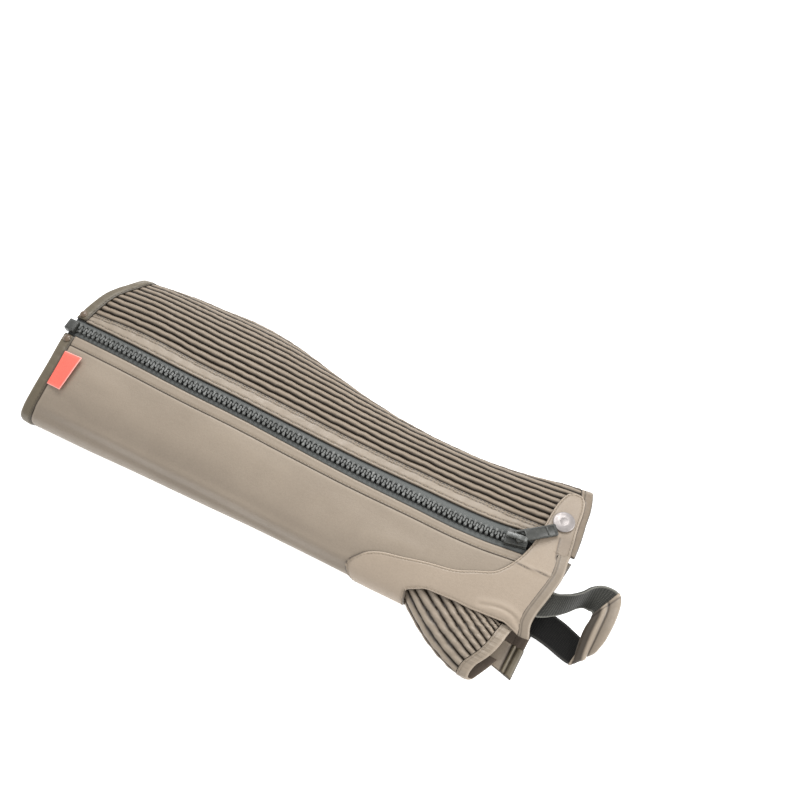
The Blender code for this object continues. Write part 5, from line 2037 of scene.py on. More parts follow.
@dataclass
class Gusset:
    """Fan of pleats folded over at the front of the ankle, with its hem and the corner under it."""

    stitches: Stitches
    fine: int = 12
    rows: int = 44
    depth: float = 2.1
    wall: float = 2.4
    hem_width: float = 9.0
    hem_gap: float = 0.5
    corner_start: float = 105.0
    corner_end: float = 187.5
    corner_band: float = 9.0
    corner_gap: float = 0.6
    corner_wall: float = 2.0

    RIBS = (
        Rib(155.0, -40.4, 18.0, 165.2, -42.2, 16.8, 0.0),
        Rib(154.7, -40.6, 18.0, 164.7, -45.0, 17.0, 0.0),
        Rib(146.2, -39.9, 18.4, 163.8, -48.8, 17.4, 0.0),
        Rib(138.4, -40.5, 18.7, 163.2, -53.3, 18.0, 0.2),
        Rib(131.0, -40.2, 18.7, 162.0, -58.5, 17.3, 0.5),
        Rib(122.8, -40.9, 18.4, 160.3, -63.6, 16.4, 0.9),
        Rib(113.8, -41.8, 17.9, 158.3, -67.9, 15.4, 1.3),
        Rib(104.4, -42.8, 17.4, 155.8, -72.0, 14.0, 1.9),
        Rib(94.4, -43.8, 16.0, 152.8, -76.6, 12.0, 2.8),
        Rib(91.4, -47.0, 13.4, 151.2, -82.4, 9.4, 4.0),
        Rib(91.0, -51.6, 8.8, 151.6, -86.2, 5.6, 5.0),
        Rib(92.6, -53.8, 5.0, 154.0, -84.6, 1.9, 5.0),
        Rib(95.6, -54.4, 3.2, 157.0, -79.0, 1.6, 4.0),
        Rib(103.0, -53.6, 3.0, 161.0, -71.5, 3.0, 2.0),
        Rib(114.0, -53.2, 3.0, 164.4, -64.0, 3.1, 0.0),
    )

    def surface(self, shares: Array) -> tuple[Array, Array, Array]:
        """Points and normals of the fan at shares of its length, and its grooves' places.

        Args:
            shares: shares of the length, 0 to 1.

        Returns:
            Points, normals and grooves' places.
        """
        ribs = np.array([list(rib) for rib in self.RIBS])
        number = np.linspace(0, len(ribs) - 1, (len(ribs) - 1) * self.fine + 1)
        lines = hermite(np.arange(len(ribs), dtype=float), ribs, number)
        start, end, bow = lines[None, :, 0:3], lines[None, :, 3:6], lines[None, :, 6]
        share = shares[:, None, None]
        points = start + np.minimum(share, 1.0) * (end - start)
        inside = np.clip(shares, 0, 1)[:, None]
        points[..., 1] -= bow * 4 * inside * (1 - inside)
        points[..., 0] += np.maximum(shares - 1.0, 0.0)[:, None]
        normals = np.cross(np.gradient(points, axis=0), np.gradient(points, axis=1))
        normals /= np.linalg.norm(normals, axis=2)[..., None]
        if normals[:, 0, 2].mean() < 0:
            normals = -normals
        return points, normals, number

    def fan(self) -> Item:
        """Pleated leather of the gusset.

        Returns:
            The piece.
        """
        shares = np.linspace(0, 1, self.rows)
        points, normals, number = self.surface(shares)
        along = shares[:, None] * 60
        sway = np.stack([wander(along[:, 0], 500 + k, 0.09, 0.35) for k in range(len(self.RIBS))])
        nearest = np.minimum(number.astype(int), len(self.RIBS) - 1)
        place = number[None, :] + sway[nearest].T * np.sin(math.pi * shares)[:, None]
        ridge = np.abs(np.sin(math.pi * place)) ** 0.55
        ripple = 0.62 * wander(along + 9 * number[None, :], 7, 1.0, 0.16) * ridge
        ripple = ripple * np.linspace(0.3, 1, self.rows)[:, None]
        height = -self.depth * (1 - ridge) + ripple
        outer = self._off_ground(points + normals * height[..., None])
        inner = self._off_ground(points - normals * self.wall)
        # Painted shade in the pleats' grooves, and painted highlights on their ridges.
        seam = np.clip((1 - ridge) * 1.9 - 0.1, 0, 0.99)
        uv = np.stack([along + 0 * place, 5.5 * place], axis=-1)
        cloth = Cloth("gusset_pleats", outer, inner, seam, ridge ** 8 * 0.4, uv)
        return cloth.build(Finish.LEATHER, Finish.LINING)

    def hem(self) -> Item:
        """Turned hem of the gusset.

        Returns:
            The piece.
        """
        across = np.linspace(self.hem_gap, self.hem_width, 13)
        points, normals, number = self.surface(1.0 + across)
        share = (across - self.hem_gap) / (self.hem_width - self.hem_gap)
        height = np.interp(share, (0, 0.12, 0.5, 0.9, 1.0), (-0.4, 0.15, 0.35, 0.1, -0.5))[:, None]
        pucker = 0.42 * wander(number * 5.5, 19, 1.0, 0.13)[None, :]
        height = height + pucker * np.sin(math.pi * share)[:, None]
        height = height + trough((share * 8.4 - 1.6)[:, None], 0.3, 0.6)
        deep = np.interp(share, (0, 0.5, 0.9, 1.0), (-2.4, -2.4, -2.1, -1.5))[:, None]
        outer, inner = points + normals * height[..., None], points + normals * deep[..., None]
        # Painted shade at the hem's seam, deeper in the pleats' grooves, and along the row of stitches; paler
        # fold, wear and a painted highlight.
        ribbed = np.abs(np.sin(math.pi * number))[None, :]
        seam = 0.6 * bump(share[:, None] * 8, 0.45) * (1 - 0.9 * ribbed)
        seam = seam + 0.25 * bump(share[:, None] * 8 - 1.7, 0.4)
        worn = 0.8 * bump((share[:, None] - 0.9) * 8, 0.8) + 0 * number[None, :]
        row = 2
        self.stitches.sew(outer[row, 8:130] + normals[row, 8:130] * 0.35, normals[row, 8:130], 2.8)
        uv = np.stack([across[:, None] + 0 * number, 5.5 * number + 0 * across[:, None]], axis=-1)
        cloth = Cloth("gusset_hem", self._off_ground(outer), self._off_ground(inner), seam, worn, uv)
        return cloth.build(Finish.LEATHER, Finish.FLESH)

    def _off_ground(self, points: Array) -> Array:
        """Points kept from going below the ground.

        Args:
            points: points in mm.

        Returns:
            The kept points.
        """
        points = points.copy()
        points[..., 2] = np.maximum(points[..., 2], 0.0)
        return points

    def corner(self, bound: bool) -> Item:
        """Front corner of the inner side, flat on the ground: its panel, or its turned hem.

        Args:
            bound: whether it is the hem.

        Returns:
            The piece.
        """
        split = self.corner_end - self.corner_band
        first, last = (split - 0.2, self.corner_end) if bound else (self.corner_start, split + 0.2)
        stations = np.linspace(first, last, 14 if bound else 40)
        shares = graded(24.0, (0.0, 24.0), 1.3, 0.4, 1.0)
        seam_y = smooth(CORNER_SEAM, "y", stations) + self.corner_gap
        front_y = smooth(CORNER_FRONT, "y", stations)
        y = seam_y[:, None] + shares[None, :] * (front_y - seam_y)[:, None]
        x = np.broadcast_to(stations[:, None], y.shape)
        edges = [np.abs(y - seam_y[:, None]), np.abs(y - front_y[:, None])]
        hems = [np.abs(x - first), np.abs(last - x)]
        thick = 3.4 if bound else self.corner_wall
        height = thick + edge_drop(edges + hems, 0.9, 1.5) + 0.15 * wander(y, 31, 1.0, 0.4)
        if bound:
            height = height + 0.9 * bump(x - first - 1.7, 1.0) - 1.1 * bump(x - first - 3.6, 0.8)
            height = height + 0.5 * bump(x - first - 6.0, 1.6)
        below = 0.35 * sum(rolled(d, 1.2) for d in edges + hems)
        name, finish = ("corner_hem", Finish.BINDING) if bound else ("corner_leather", Finish.LEATHER)
        # Painted shade at the edges and in the hem's groove; paler edges and hem ridge, wear and painted
        # highlights.
        cloth = Cloth(
            name, np.stack([x, y, height], axis=-1), np.stack([x, y, below], axis=-1),
            np.clip(edge_shade(edges + hems, 0.5) + 0.85 * bound * bump(x - first - 3.6, 0.6), 0, 0.95),
            edge_wear_and_highlight(edges + hems) + 0.8 * bound * bump(x - first - 1.7, 0.8), np.stack([x, y], axis=-1),
        )
        return cloth.build(finish, finish)


class Edge(NamedTuple):
    """Both edges of the strap at one place along it."""

    far_x: float
    far_y: float
    far_z: float
    near_x: float
    near_y: float
    near_z: float


@dataclass
class Strap:
    """Elastic band that loops under the foot, in two stretches, and its leather sleeve."""

    wall: float = 1.5
    sleeve_wall: float = 3.2
    sleeve_from: float = 9.0
    sleeve_to: float = 15.6
    tuck: float = 0.25
    width: float = 23.0

    EDGES = (
        Edge(160.0, -6.0, 20.5, 158.0, -28.0, 18.0),
        Edge(176.0, -6.0, 20.0, 172.0, -28.2, 17.3),
        Edge(190.5, -5.2, 18.8, 184.8, -26.5, 14.4),
        Edge(197.2, -3.4, 21.0, 195.2, -18.2, 8.0),
        Edge(202.6, -1.3, 23.6, 202.4, -10.4, 4.6),
        Edge(207.8, 2.8, 24.8, 207.2, -4.6, 4.4),
        Edge(212.0, 9.0, 23.6, 211.8, -2.4, 6.0),
        Edge(217.2, 14.0, 20.6, 216.4, -3.4, 8.8),
        Edge(223.8, 16.4, 18.0, 218.6, -4.0, 10.8),
        Edge(230.3, 15.6, 17.0, 220.0, -6.4, 12.0),
        Edge(234.4, 9.6, 17.0, 219.9, -10.6, 12.0),
        Edge(236.0, -1.4, 17.2, 219.2, -16.0, 10.4),
        Edge(236.0, -12.4, 16.6, 219.4, -23.8, 8.4),
        Edge(235.0, -22.6, 13.6, 220.4, -32.4, 6.2),
        Edge(232.0, -28.4, 8.4, 221.8, -39.6, 4.0),
        Edge(226.6, -27.6, 4.2, 221.2, -42.4, 2.0),
        Edge(219.8, -22.2, 2.2, 217.4, -43.0, 1.2),
        Edge(213.2, -19.6, 1.6, 210.2, -41.6, 1.2),
        Edge(205.8, -17.2, 1.4, 202.2, -39.4, 1.4),
        Edge(198.2, -15.8, 2.2, 194.6, -38.0, 2.2),
        Edge(190.0, -15.2, 3.7, 187.6, -37.6, 3.7),
        Edge(176.0, -15.0, 3.75, 174.0, -37.6, 3.75),
        Edge(160.0, -15.0, 3.4, 158.0, -37.6, 3.4),
    )

    def ribbon(
        self, first: float, last: float, steps: int, across: Array, spread: float = 0.0,
    ) -> tuple[Array, Array, Array]:
        """Middle surface of a stretch of the strap.

        Args:
            first: where it starts, as a fractional row of EDGES.
            last: where it ends.
            steps: rows along it.
            across: fractions from the far edge to the near one.
            spread: how far it stands out at both edges.

        Returns:
            Its points, its normals and its distances along.
        """
        edges = np.array([list(edge) for edge in self.EDGES])
        rows = hermite(np.arange(len(edges), dtype=float), edges, np.linspace(first, last, steps + 1))
        far, near = rows[:, None, 0:3], rows[:, None, 3:6]
        side = (far - near) / np.linalg.norm(far - near, axis=-1, keepdims=True) * spread
        points = (far + side) * (1 - across[None, :, None]) + (near - side) * across[None, :, None]
        normals = np.cross(np.gradient(points, axis=0), np.gradient(points, axis=1))
        normals /= np.linalg.norm(normals, axis=2)[..., None]
        if normals[:, 0, 2].mean() < 0:
            normals = -normals
        steps_along = np.linalg.norm(np.diff(points.mean(1), axis=0), axis=-1)
        return points, normals, np.concatenate([[0.0], np.cumsum(steps_along)])

    def _wall(
        self, name: str, points: Array, up: Array, down: Array, normals: Array, seam: Array,
        worn: Array, uv: Array, finishes: tuple[Finish, Finish],
    ) -> Item:
        """Wall that stands off the middle surface by two heights.

        Args:
            name: name of the piece.
            points: points in mm.
            up: height of the outer face.
            down: depth of the inner face.
            normals: directions outwards.
            seam: painted shade at each place, 0 to 1.
            worn: paleness at each place, 0 to 1: wear, selvedges and painted highlights.
            uv: flat place of each point.
            finishes: finish outside and inside.

        Returns:
            The piece.
        """
        outer, inner = points + normals * up[..., None], points - normals * down[..., None]
        for side in (outer, inner):
            side[..., 2] = np.maximum(side[..., 2], 0.0)
        return Cloth(name, outer, inner, seam, worn, uv).build(*finishes)

    def elastic(self, upper: bool) -> Item:
        """Stretch of knitted elastic, with a firmer selvedge along both edges.

        Args:
            upper: whether it is the upper stretch.

        Returns:
            The piece.
        """
        across = graded(self.width, (0.0, self.width), 0.9, 0.35, 1.2)
        end = len(self.EDGES) - 1.0
        first, last = (0.0, self.sleeve_from + self.tuck) if upper else (self.sleeve_to - self.tuck, end)
        points, normals, along = self.ribbon(first, last, 90, across)
        edge = np.minimum(across, 1 - across) * self.width
        ribs = 0.06 * np.sin(along / 1.4 * 2 * math.pi)[:, None] * (edge > 1.6)[None, :]
        half = self.wall / 2 - 0.12 + 0.24 * bump(edge - 0.9, 0.55) - 0.4 * rolled(edge, 0.5)
        # Paler selvedges at both edges: painted highlights.
        worn = np.broadcast_to(bump(edge - 0.8, 0.7), points.shape[:2])
        uv = np.stack(np.broadcast_arrays(along[:, None], across[None, :] * self.width), axis=-1)
        # The lower stretch takes a darker copy of the elastic: painted shade.
        name, finish = ("elastic_upper", Finish.ELASTIC) if upper else ("elastic_lower", Finish.SHADED)
        return self._wall(
            name, points, half[None, :] + ribs, half[None, :] + ribs, normals, np.zeros_like(worn), worn, uv,
            (finish, finish),
        )

    def sleeve(self) -> Item:
        """Leather sleeve round the elastic: bulged, with a seam along it and turned lips.

        Returns:
            The piece.
        """
        across = graded(self.width, (0.0, self.width), 0.8, 0.35, 1.2)
        points, normals, along = self.ribbon(self.sleeve_from, self.sleeve_to, 90, across, 0.6)
        edge = np.minimum(across, 1 - across) * self.width
        half = self.sleeve_wall / 2 * np.sqrt(np.clip(1 - (1 - edge / 4.0).clip(0, 1) ** 2.2, 0.03, 1))
        ends = np.minimum(along, along[-1] - along)[:, None]
        lip = 0.45 * bump(ends - 1.0, 0.8) - 0.5 * rolled(ends, 0.6) - 0.35 * bump(ends - 2.6, 0.7)
        groove = -0.95 * bump((across - 0.40) * self.width, 0.9)
        ridge = 0.9 * bump((across - 0.54) * self.width, 2.6)
        ridge = ridge - 1.0 * np.clip((across - 0.66) / 0.34, 0, 1) ** 1.3
        up = half[None, :] + lip + (groove + ridge)[None, :] * (1 - rolled(ends, 5.0))
        up = up + 0.12 * wander(along, 91, 1.0, 0.3)[:, None]
        down = half[None, :] + lip - 0.3 * bump((across - 0.5) * self.width, 0.8)[None, :]
        # Painted shade on the near side, in the seam's groove and behind the lips.
        shade = 0.86 * np.clip((across - 0.60) / 0.08, 0, 1) + 0.8 * bump((across - 0.40) * self.width, 0.7)
        shade = shade + 0.25 * np.clip(1 - np.abs(across - 0.3) / 0.2, 0, 1)
        seam = np.clip(shade[None, :] + 0.5 * bump(ends - 2.6, 0.6), 0, 0.95)
        # Paler lips and ridge: painted highlights.
        worn = 0.9 * bump(ends - 0.8, 0.7) + 0.95 * bump((across - 0.54) * self.width, 1.3)[None, :]
        worn = np.clip(worn, 0, 1)
        uv = np.stack(np.broadcast_arrays(along[:, None], across[None, :] * self.width), axis=-1)
        return self._wall(
            "strap_sleeve_leather", points, np.maximum(up, 0.15), np.maximum(down, 0.15), normals,
            seam, worn, uv, (Finish.LEATHER, Finish.LEATHER),
        )


@dataclass
class Zip:
    """Chunky moulded zip: tapes, teeth, end box, slider and pull tab."""

    pattern: Pattern
    tape_sink: float = 1.6
    tape_wall: float = 0.8
    tape_start: float = 2.0
    tape_end: float = 172.0
    tuck: float = 3.5
    chain_start: float = -216.8
    chain_end: float = 143.8
    pitch: float = 4.1
    chain_top: float = 2.0
    box_x: float = -221.6
    box_wrap: float = -1.2
    slider_x: float = 148.6
    slider_sink: float = -1.3
    slider_height: float = 5.6
    pin_height: float = 2.7
    pull_yaw: float = math.radians(33.0)
    pull_pitch: float = math.radians(6.5)
    pull_length: float = 30.0
    pull_width: float = 9.0
    pull_thickness: float = 1.8

    TOOTH = ((-3.6, 0.95), (-2.2, 1.25), (-1.0, 0.5), (0.4, 0.95), (1.4, 0.6))

    @property
    def foot(self) -> float:
        """Height of the tapes' upper face."""
        return -self.tape_sink

    def tape(self, side: Side) -> Item:
        """Woven tape of one side.

        Args:
            side: side of the zip.

        Returns:
            The piece.
        """
        cut, leg = self.pattern, self.pattern.leg
        seam = float(cut.knee_seam(90.0))
        start = float(cut.knee_edge(90.0)) + self.tape_start

        def outer_edge(x: Array) -> Array:
            """Edge that is tucked under the leather."""
            return cut.tape_side(x, side) + side.value * self.tuck

        long = self.tape_end - start
        near = [0.0, (seam + 2.8 - start) / long]
        rows = np.concatenate([near, np.linspace((seam + 4.0 - start) / long, 1, 170)])
        x, wrap = cut.places(
            lambda x: np.full_like(x, side.value * HALF_GAP * 0.3), outer_edge, np.linspace(0, 1, 15), rows,
            lambda angle: np.full_like(angle, start), lambda angle: np.full_like(angle, self.tape_end),
        )
        height = self.foot + 0.1 * wander(x, 71 + side.value, 1.0, 0.4) * bump(np.abs(wrap) - 5.5, 1.5)
        height = height + 0.18 * bump(np.abs(wrap) - 4.7, 0.5)
        # Painted shade under the facing's edge, and a dark band under the teeth so that the gaps between them
        # read as shade.
        painted_shade = 0.85 * bump(wrap - cut.tape_side(x, side), 0.9) + 0.92 * (np.abs(wrap) < 3.5)
        name = f"zip_tape_{side.name.lower()}_woven"
        deep = np.full_like(x, -self.tape_sink - self.tape_wall)
        cloth = on_leg(leg, name, (x, wrap), height, deep, painted_shade, np.zeros_like(x))
        return cloth.build(Finish.TAPE, Finish.TAPE)

    def teeth(self) -> Item:
        """Interlocked teeth of the closed chain.

        Returns:
            The piece.
        """
        rows = self.TOOTH
        tall = self.chain_top - self.foot
        first_y, first_half = rows[0]
        depth = rows[1][0] - first_y
        bench = Bench("tooth").block((2 * first_half, depth, tall), (0, first_y + depth / 2, tall / 2))
        bench.pick(lambda centre, normal: normal.y > 0.9).resize(rows[1][1] / first_half, 1, 1)
        half = rows[1][1]
        for (y, _), (next_y, next_half) in zip(rows[1:], rows[2:]):
            bench.extrude(0.0, next_y - y, 0.0).resize(next_half / half, 1.0, 1.0)
            half = next_half
        bench.pick(lambda centre, normal: normal.z > 0.9).move(0.0, 0.0, -0.15)
        stamp = bench.finish(bevel=0.22, segments=1)
        frames = []
        count = int((self.chain_end - self.chain_start) / self.pitch)
        for k in range(2 * count):
            x = self.chain_start + (k + 1) * self.pitch / 2
            seat = self.pattern.leg.seat(x, 0.0, self.foot)
            frames.append(seat if k % 2 else seat @ Matrix.Rotation(math.pi, 4, "Z"))
        return copies("zip_teeth", stamp, frames, Finish.TOOTH)

    def box(self) -> Item:
        """End box at the knee: a rounded block with a stepped top and a finger groove.

        Returns:
            The piece.
        """
        bench = Bench("zip_end_box").block((8.4, 9.0, 5.4), (0.9, 0, 2.7))
        bench.pick(lambda centre, normal: normal.z > 0.9).inset(1.0, 0.0).extrude(0.0, 0.0, 0.5)
        bench.resize(0.86, 0.86, 1.0)
        bench.block((1.1, 9.4, 2.2), (3.7, 0, 1.6))
        bench.block((3.4, 5.0, 1.4), (5.2, 0, 1.2))
        item = bench.finish(bevel=0.9, segments=3)
        return lay(item, self.pattern.leg.seat(self.box_x, self.box_wrap, self.foot), Finish.PLASTIC)

    def hinge(self) -> Matrix:
        """Frame of the pull tab's axis: +Y along the axis and +X along the tab at rest.

        Returns:
            The frame, in metres.
        """
        seat = self.pattern.leg.seat(self.slider_x, 0.0, self.slider_sink)
        up = Matrix.Translation((0.0, 0.0, self.slider_height + self.pin_height))
        return seat @ up @ Matrix.Rotation(self.pull_yaw, 4, "Z")

    def slider(self) -> Item:
        """Slider: two plates with tapered sides, a waist between them and a bridge on top.

        Returns:
            The piece.
        """
        bench = Bench("zip_slider_body")
        for height, thick in ((0.9, 1.8), (4.5, 2.0)):
            bench.block((15.6, 12.0, thick), (1.0, 0, height))
            bench.pick(lambda centre, normal, z=height: normal.x > 0.9 and abs(centre.z - z) < 1.0)
            bench.resize(1.0, 0.72, 1.0)
            bench.pick(lambda centre, normal, z=height: normal.x < -0.9 and abs(centre.z - z) < 1.0)
            bench.extrude(-0.9, 0.0, 0.0).resize(1.0, 0.84, 1.0)
        bench.pick(lambda centre, normal: normal.z > 0.9 and centre.z > 5.0)
        bench.inset(1.3, 0.0).extrude(0.0, 0.0, 0.5)
        bench.block((12.0, 8.0, 2.6), (1.2, 0, 2.7))
        item = bench.finish(bevel=0.45, segments=2)
        return lay(item, self.pattern.leg.seat(self.slider_x, 0.0, self.slider_sink), Finish.PLASTIC)

    def bridge(self) -> Item:
        """Rubbed bridge over the pull tab's bar, with a round nub at its free end.

        Returns:
            The piece.
        """
        bench = Bench("zip_slider_bridge").block((2.6, 3.2, 1.8), (-6.0, 0, 6.2))
        bench.pick(lambda centre, normal: normal.z > 0.9 and centre.z > 7.0).extrude(0.0, 0.0, 2.9)
        bench.pick(lambda centre, normal: normal.x > 0.9 and centre.z > 8.0).extrude(3.6, 0.0, 0.5)
        bench.extrude(4.4, 0.0, 0.2).resize(1.0, 1.15, 1.0).extrude(3.0, 0.0, -0.3).extrude(1.7, 0.0, -0.9)
        bench.resize(1.0, 0.7, 0.7)
        bench.block((3.4, 3.0, 3.6), (6.2, 0, 6.4))
        item = bench.finish(bevel=0.5, segments=3)
        return lay(item, self.pattern.leg.seat(self.slider_x, 0.0, self.slider_sink), Finish.TOOTH)

    def pull(self) -> Item:
        """Pull tab: a plate with a sunk panel, two arms and a cross bar round the bridge.

        Returns:
            The piece.
        """
        half, thick = self.pull_width / 2, self.pull_thickness
        bench = Bench("pull_tab")
        plate = self.pull_length - 7.0
        bench.block((plate, self.pull_width, thick), (7.0 + plate / 2, 0, 0))
        bench.pick(lambda centre, normal: normal.x > 0.9).extrude(0.7, 0.0, 0.0).resize(1.0, 0.84, 1.0)
        bench.pick(lambda centre, normal: normal.z > 0.9 and abs(centre.y) < 0.1 and centre.x < 24)
        bench.inset(1.3, 0.0).extrude(0.0, 0.0, -0.45)
        for way in (-1, 1):
            bench.block((8.2, 1.6, thick + 0.4), (3.7, way * (half - 0.8), 0))
        bench.block((1.5, self.pull_width, thick + 0.5), (7.2, 0, 0.15))
        bench.block((1.2, self.pull_width - 2.4, 0.5), (self.pull_length - 6.4, 0, thick / 2))
        item = bench.finish(bevel=0.3, segments=2)
        bar = Bench("pull_bar").bar(1.15, self.pull_width - 0.6, 20)
        rod = bar.finish(bevel=0.25, segments=2)
        bpy.context.view_layer.objects.active = item
        item.select_set(True)
        rod.select_set(True)
        bpy.ops.object.join()
        item.select_set(False)
        return lay(item, self.hinge() @ Matrix.Rotation(self.pull_pitch, 4, "Y"), Finish.PLASTIC)


@dataclass
class Fittings:
    """Snap cap on the yoke's tab, and the rivets and cloth tabs at the top of the zip."""

    pattern: Pattern
    snap_x: float = 174.0
    snap_y: float = 43.5
    snap_seat: float = 2.55
    rivet_inset: float = 5.2
    rivet_off_zip: float = 11.6
    binding_rise: float = 0.75
    binding_wall: float = 2.8

    SNAP = (
        (7.7, 0.0), (8.05, 0.4), (7.95, 0.75), (7.55, 1.0), (7.0, 1.05), (6.2, 1.3), (5.0, 1.55),
        (3.4, 1.75), (2.9, 1.75), (2.5, 1.6), (0.5, 1.58),
    )
    DOME = ((2.9, 0.0), (2.95, 0.4), (2.7, 0.85), (2.2, 1.22), (1.5, 1.5), (0.8, 1.65), (0.2, 1.7))
    RING = ((3.6, 0.0), (3.6, 0.45), (3.3, 0.8), (2.8, 0.9), (2.2, 0.85), (1.7, 0.5), (1.5, 0.2), (0.3, 0.2))

    def snap(self) -> Item:
        """Domed snap cap with a rolled rim.

        Returns:
            The piece.
        """
        wrap = float(self.pattern.leg.wrap_on_top(np.array(self.snap_x), self.snap_y))
        seat = self.pattern.leg.seat(self.snap_x, wrap, self.snap_seat)
        return lay(turned("snap_dome", self.SNAP, 56), seat, Finish.NICKEL)

    def rivets(self) -> list[tuple[Item, str]]:
        """Rivets each side of the zip, with the CAD node that each stands for.

        Returns:
            Each piece with its node.
        """
        made = []
        for side in Side:
            label, wrap = side.name.lower(), side.value * self.rivet_off_zip
            x = float(self.pattern.knee_edge(90.0)) + self.rivet_inset
            seat = self.pattern.leg.seat(x, wrap, self.binding_rise + 0.05)
            dome = lay(turned(f"rivet_dome_{label}", self.DOME, 28), seat, Finish.ENAMEL)
            made.append((dome, f"rivet_{label}"))
            under = self.pattern.leg.seat(x, wrap, -self.binding_wall - SEAM_GAP)
            flip = under @ Matrix.Rotation(math.pi, 4, "X")
            ring = lay(turned(f"rivet_ring_{label}", self.RING, 28), flip, Finish.BRASS)
            made.append((ring, f"rivet_back_{label}"))
        return made


@dataclass
class Label:
    """Folded cloth label, caught in the knee binding's seam and lifting off the panel."""

    pattern: Pattern
    first_wrap: float = -21.0
    last_wrap: float = -49.0
    first_reach: float = 16.3
    last_reach: float = 12.3
    wall: float = 0.9
    lift: float = 2.6
    across: float = 28.0
    reach: float = 14.0
    selvedge: float = 1.8

    def build(self) -> Item:
        """The bare label, with a selvedge along its two folded ends.

        Returns:
            The piece.
        """
        leg = self.pattern.leg
        row, column = np.linspace(0, 1, 26)[:, None], np.linspace(0, 1, 40)[None, :]
        wrap = self.first_wrap + column * (self.last_wrap - self.first_wrap) + 0 * row
        reach = self.first_reach + column * (self.last_reach - self.first_reach)
        start = self.pattern.knee_seam(leg.angle(np.full_like(wrap, -215.0), wrap)) + SEAM_GAP
        x = start + row * reach
        curl = 0.5 * np.sin(column * math.pi * 1.3 + 0.4) * row
        lift = SEAM_GAP + 0.15 + self.lift * row ** 1.5 + curl
        from_side = np.minimum(column, 1 - column) * self.across
        edge = np.minimum(from_side, (1 - row) * self.reach)
        height = lift + self.wall - 0.3 * rolled(edge, 0.7)
        stripe = bump(from_side - self.selvedge, 0.25)
        worn = np.clip(0.9 * bump(edge, 0.5) + 0.35 * stripe, 0, 1)
        cloth = on_leg(leg, "label_cloth", (x, wrap), height, lift, np.zeros_like(x), worn)
        return cloth.build(Finish.LABEL, Finish.LABEL)


@dataclass
class Studio:
    """Pale floor, soft lights and the camera at the photograph's angle."""

    target: Triple = (14.26, 85.11, 0.0)
    azimuth: float = 27.0
    elevation: float = 65.0
    distance: float = 1187.4
    lens: float = 70.0
    floor_size: float = 9.0
    floor_glow: float = 0.75
    key_power: float = 31.0
    rim_power: float = 20.0
    sky: float = 0.90

    def camera(self) -> None:
        """Camera that looks at the middle of the photograph."""
        azimuth, elevation = math.radians(self.azimuth), math.radians(self.elevation)
        back = Vector((
            math.sin(azimuth) * math.cos(elevation), -math.cos(azimuth) * math.cos(elevation),
            math.sin(elevation),
        ))
        data = bpy.data.cameras.new("camera")
        data.lens = self.lens
        data.clip_end = 50.0
        camera = bpy.data.objects.new("camera", data)
        camera.location = Vector(self.target) * MM + back * self.distance * MM
        camera.rotation_euler = (-back).to_track_quat("-Z", "Y").to_euler()
        bpy.context.scene.collection.objects.link(camera)
        bpy.context.scene.camera = camera

    def floor(self) -> None:
        """Large pale floor just under the half chap."""
        bpy.ops.object.select_all(action="DESELECT")
        bpy.ops.mesh.primitive_plane_add(size=self.floor_size, location=(0, 0, -0.0002))
        floor = bpy.context.active_object
        floor.name = "floor"
        nodes = Nodes("pale_floor", (0.93, 0.93, 0.93))
        nodes.shader.inputs["Emission Color"].default_value = (1.0, 1.0, 1.0, 1.0)
        nodes.shader.inputs["Emission Strength"].default_value = self.floor_glow
        floor.data.materials.append(nodes.dress(None, 0.8, None))
        floor.select_set(False)

    def light(self, name: str, place: Triple, size: float, power: float) -> None:
        """Square soft light aimed at the half chap.

        Args:
            name: name of the light.
            place: where it stands, in metres.
            size: width in metres.
            power: strength in watts.
        """
        data = bpy.data.lights.new(name, "AREA")
        data.size, data.energy = size, power
        lamp = bpy.data.objects.new(name, data)
        lamp.location = place
        lamp.rotation_euler = (-Vector(place)).to_track_quat("-Z", "Y").to_euler()
        bpy.context.scene.collection.objects.link(lamp)

    def build(self) -> None:
        """Set up the studio."""
        world = bpy.data.worlds.new("studio")
        world.use_nodes = True
        sky = world.node_tree.nodes["Background"]
        sky.inputs["Color"].default_value = (1.0, 1.0, 1.0, 1.0)
        sky.inputs["Strength"].default_value = self.sky
        bpy.context.scene.world = world
        bpy.context.scene.view_settings.view_transform = "Standard"
        self.light("key_light", (-0.5, 1.3, 1.6), 1.2, self.key_power)
        self.light("rim_light", (1.6, 0.5, 0.9), 0.8, self.rim_power)
        self.camera()
        self.floor()


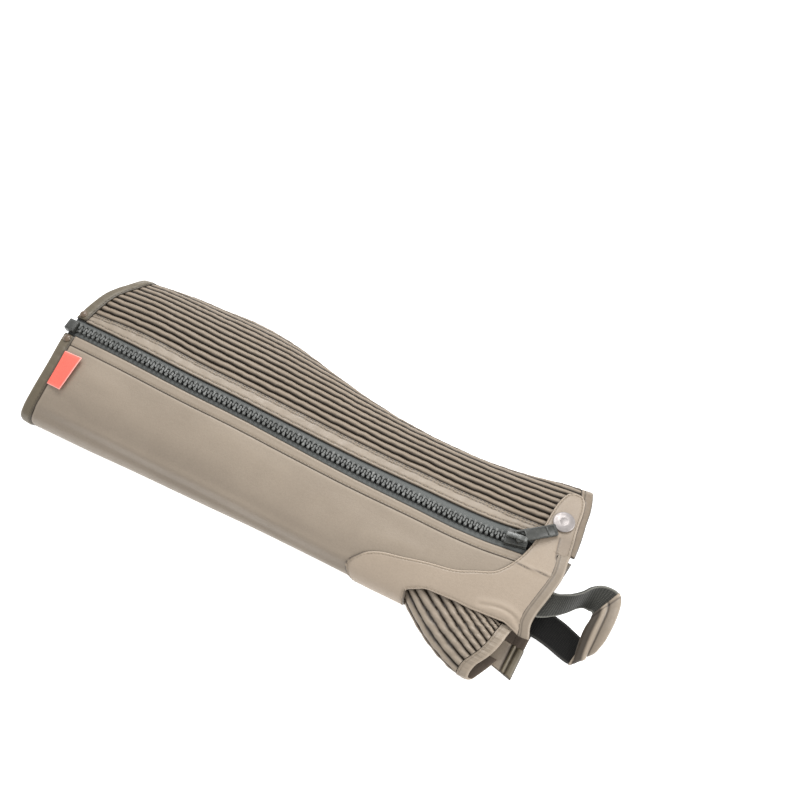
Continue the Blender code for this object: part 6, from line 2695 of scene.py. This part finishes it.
@dataclass
class HalfChap:
    """The whole half chap, built piece by piece and laid on the frame."""

    pattern: Pattern

    def build(self) -> None:
        """Build every piece and let it ride on its body."""
        top, under = Stitches(), Stitches(pitch=3.4)
        panels = Panels(self.pattern, top, under)
        self.cloth(panels.front_panel(), ("main_panel",), (0.18, 0.405), 0.063, "laid", "floor")
        panels.strap_box()
        self.cloth(
            panels.facing(Side.FRONT), ("zip_facing_front",), (0.010, 0.395), None, "laid", "front_panel",
        )
        self.cloth(
            panels.facing(Side.REAR), ("zip_facing_rear",), (0.013, 0.400), None, "laid", "pleated_panel",
        )
        self.cloth(panels.pleated_panel(), ("stretch_panel",), (0.125, 0.40), 0.036, "gathered", "floor")
        self.cloth(panels.border_strip(), ("stretch_border",), (0.029, 0.39), None, "laid", "floor")
        dark = Stitches()
        bindings = Bindings(self.pattern, dark)
        self.cloth(bindings.knee(), ("knee_binding",), (0.010, 0.305), None, "folded", "front_panel")
        for side in Side:
            size = (0.010, 0.0165) if side is Side.FRONT else (0.010, 0.195)
            self.cloth(bindings.ankle(side), ("ankle_binding_rear",), size, None, "folded", "yoke_leather")
        yoke = Yoke(self.pattern, top)
        self.cloth(yoke.overlay(), ("ankle_yoke",), (0.14, 0.14), 0.0065, "laid", "front_panel")
        self.cloth(yoke.hem(), ("ankle_binding_yoke",), (0.010, 0.072), None, "folded", "yoke_leather")
        gusset = Gusset(top)
        self.cloth(gusset.fan(), ("gusset",), (0.085, 0.07), 0.0037, "gathered", "floor")
        self.cloth(gusset.hem(), ("gusset_binding",), (0.010, 0.086), None, "folded", "gusset_pleats")
        self.cloth(gusset.corner(False), ("corner_panel",), (0.075, 0.022), 0.0012, "laid", "floor")
        self.cloth(gusset.corner(True), ("corner_binding",), (0.0105, 0.025), None, "folded", "floor")
        strap = Strap()
        self.cloth(strap.elastic(True), ("strap_upper",), (0.023, 0.073), None, "folded", "front_panel")
        self.cloth(strap.elastic(False), ("strap_lower",), (0.023, 0.065), None, "laid", "floor")
        self.cloth(strap.sleeve(), ("strap_sleeve",), (0.026, 0.041), None, "folded", "elastic_upper")
        closure = Zip(self.pattern)
        for side in Side:
            self.cloth(
                closure.tape(side), (f"zip_tape_{side.name.lower()}",), (0.0115, 0.393), None,
                "laid", "front_panel",
            )
        self.cloth(Label(self.pattern).build(), ("label",), (0.028, 0.0155), None, "folded", "front_panel")
        place_in(closure.teeth(), "chap", ("zip_chain",))
        place_in(closure.box(), "chap", ("zip_box",))
        place_in(closure.slider(), "chap", ("zip_slider",))
        place_in(closure.bridge(), "chap", ("zip_slider",))
        place_in(closure.pull(), "pull", ("zip_pull",))
        fittings = Fittings(self.pattern)
        place_in(fittings.snap(), "chap", ("snap_cap",))
        for item, node in fittings.rivets():
            place_in(item, "chap", (node,))
        top.build("stitches_upper", Finish.THREAD)
        under.build("stitches_under", Finish.THREAD)
        dark.build("stitches_hems", Finish.BINDING)

    def cloth(
        self, item: Item, nodes: tuple[str, ...], cut: tuple[float, float],
        area: Optional[float], held: str, rests_on: str,
    ) -> None:
        """Let a sheet ride on the chap's body in place of its CAD nodes."""
        place_in(item, "chap", nodes)


def main() -> None:
    """Load the frame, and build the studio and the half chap."""
    logging.basicConfig(level=logging.INFO, format="%(name)s: %(message)s")
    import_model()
    Studio().build()
    HalfChap(Pattern(Leg())).build()


if __name__ == "__main__":
    main()
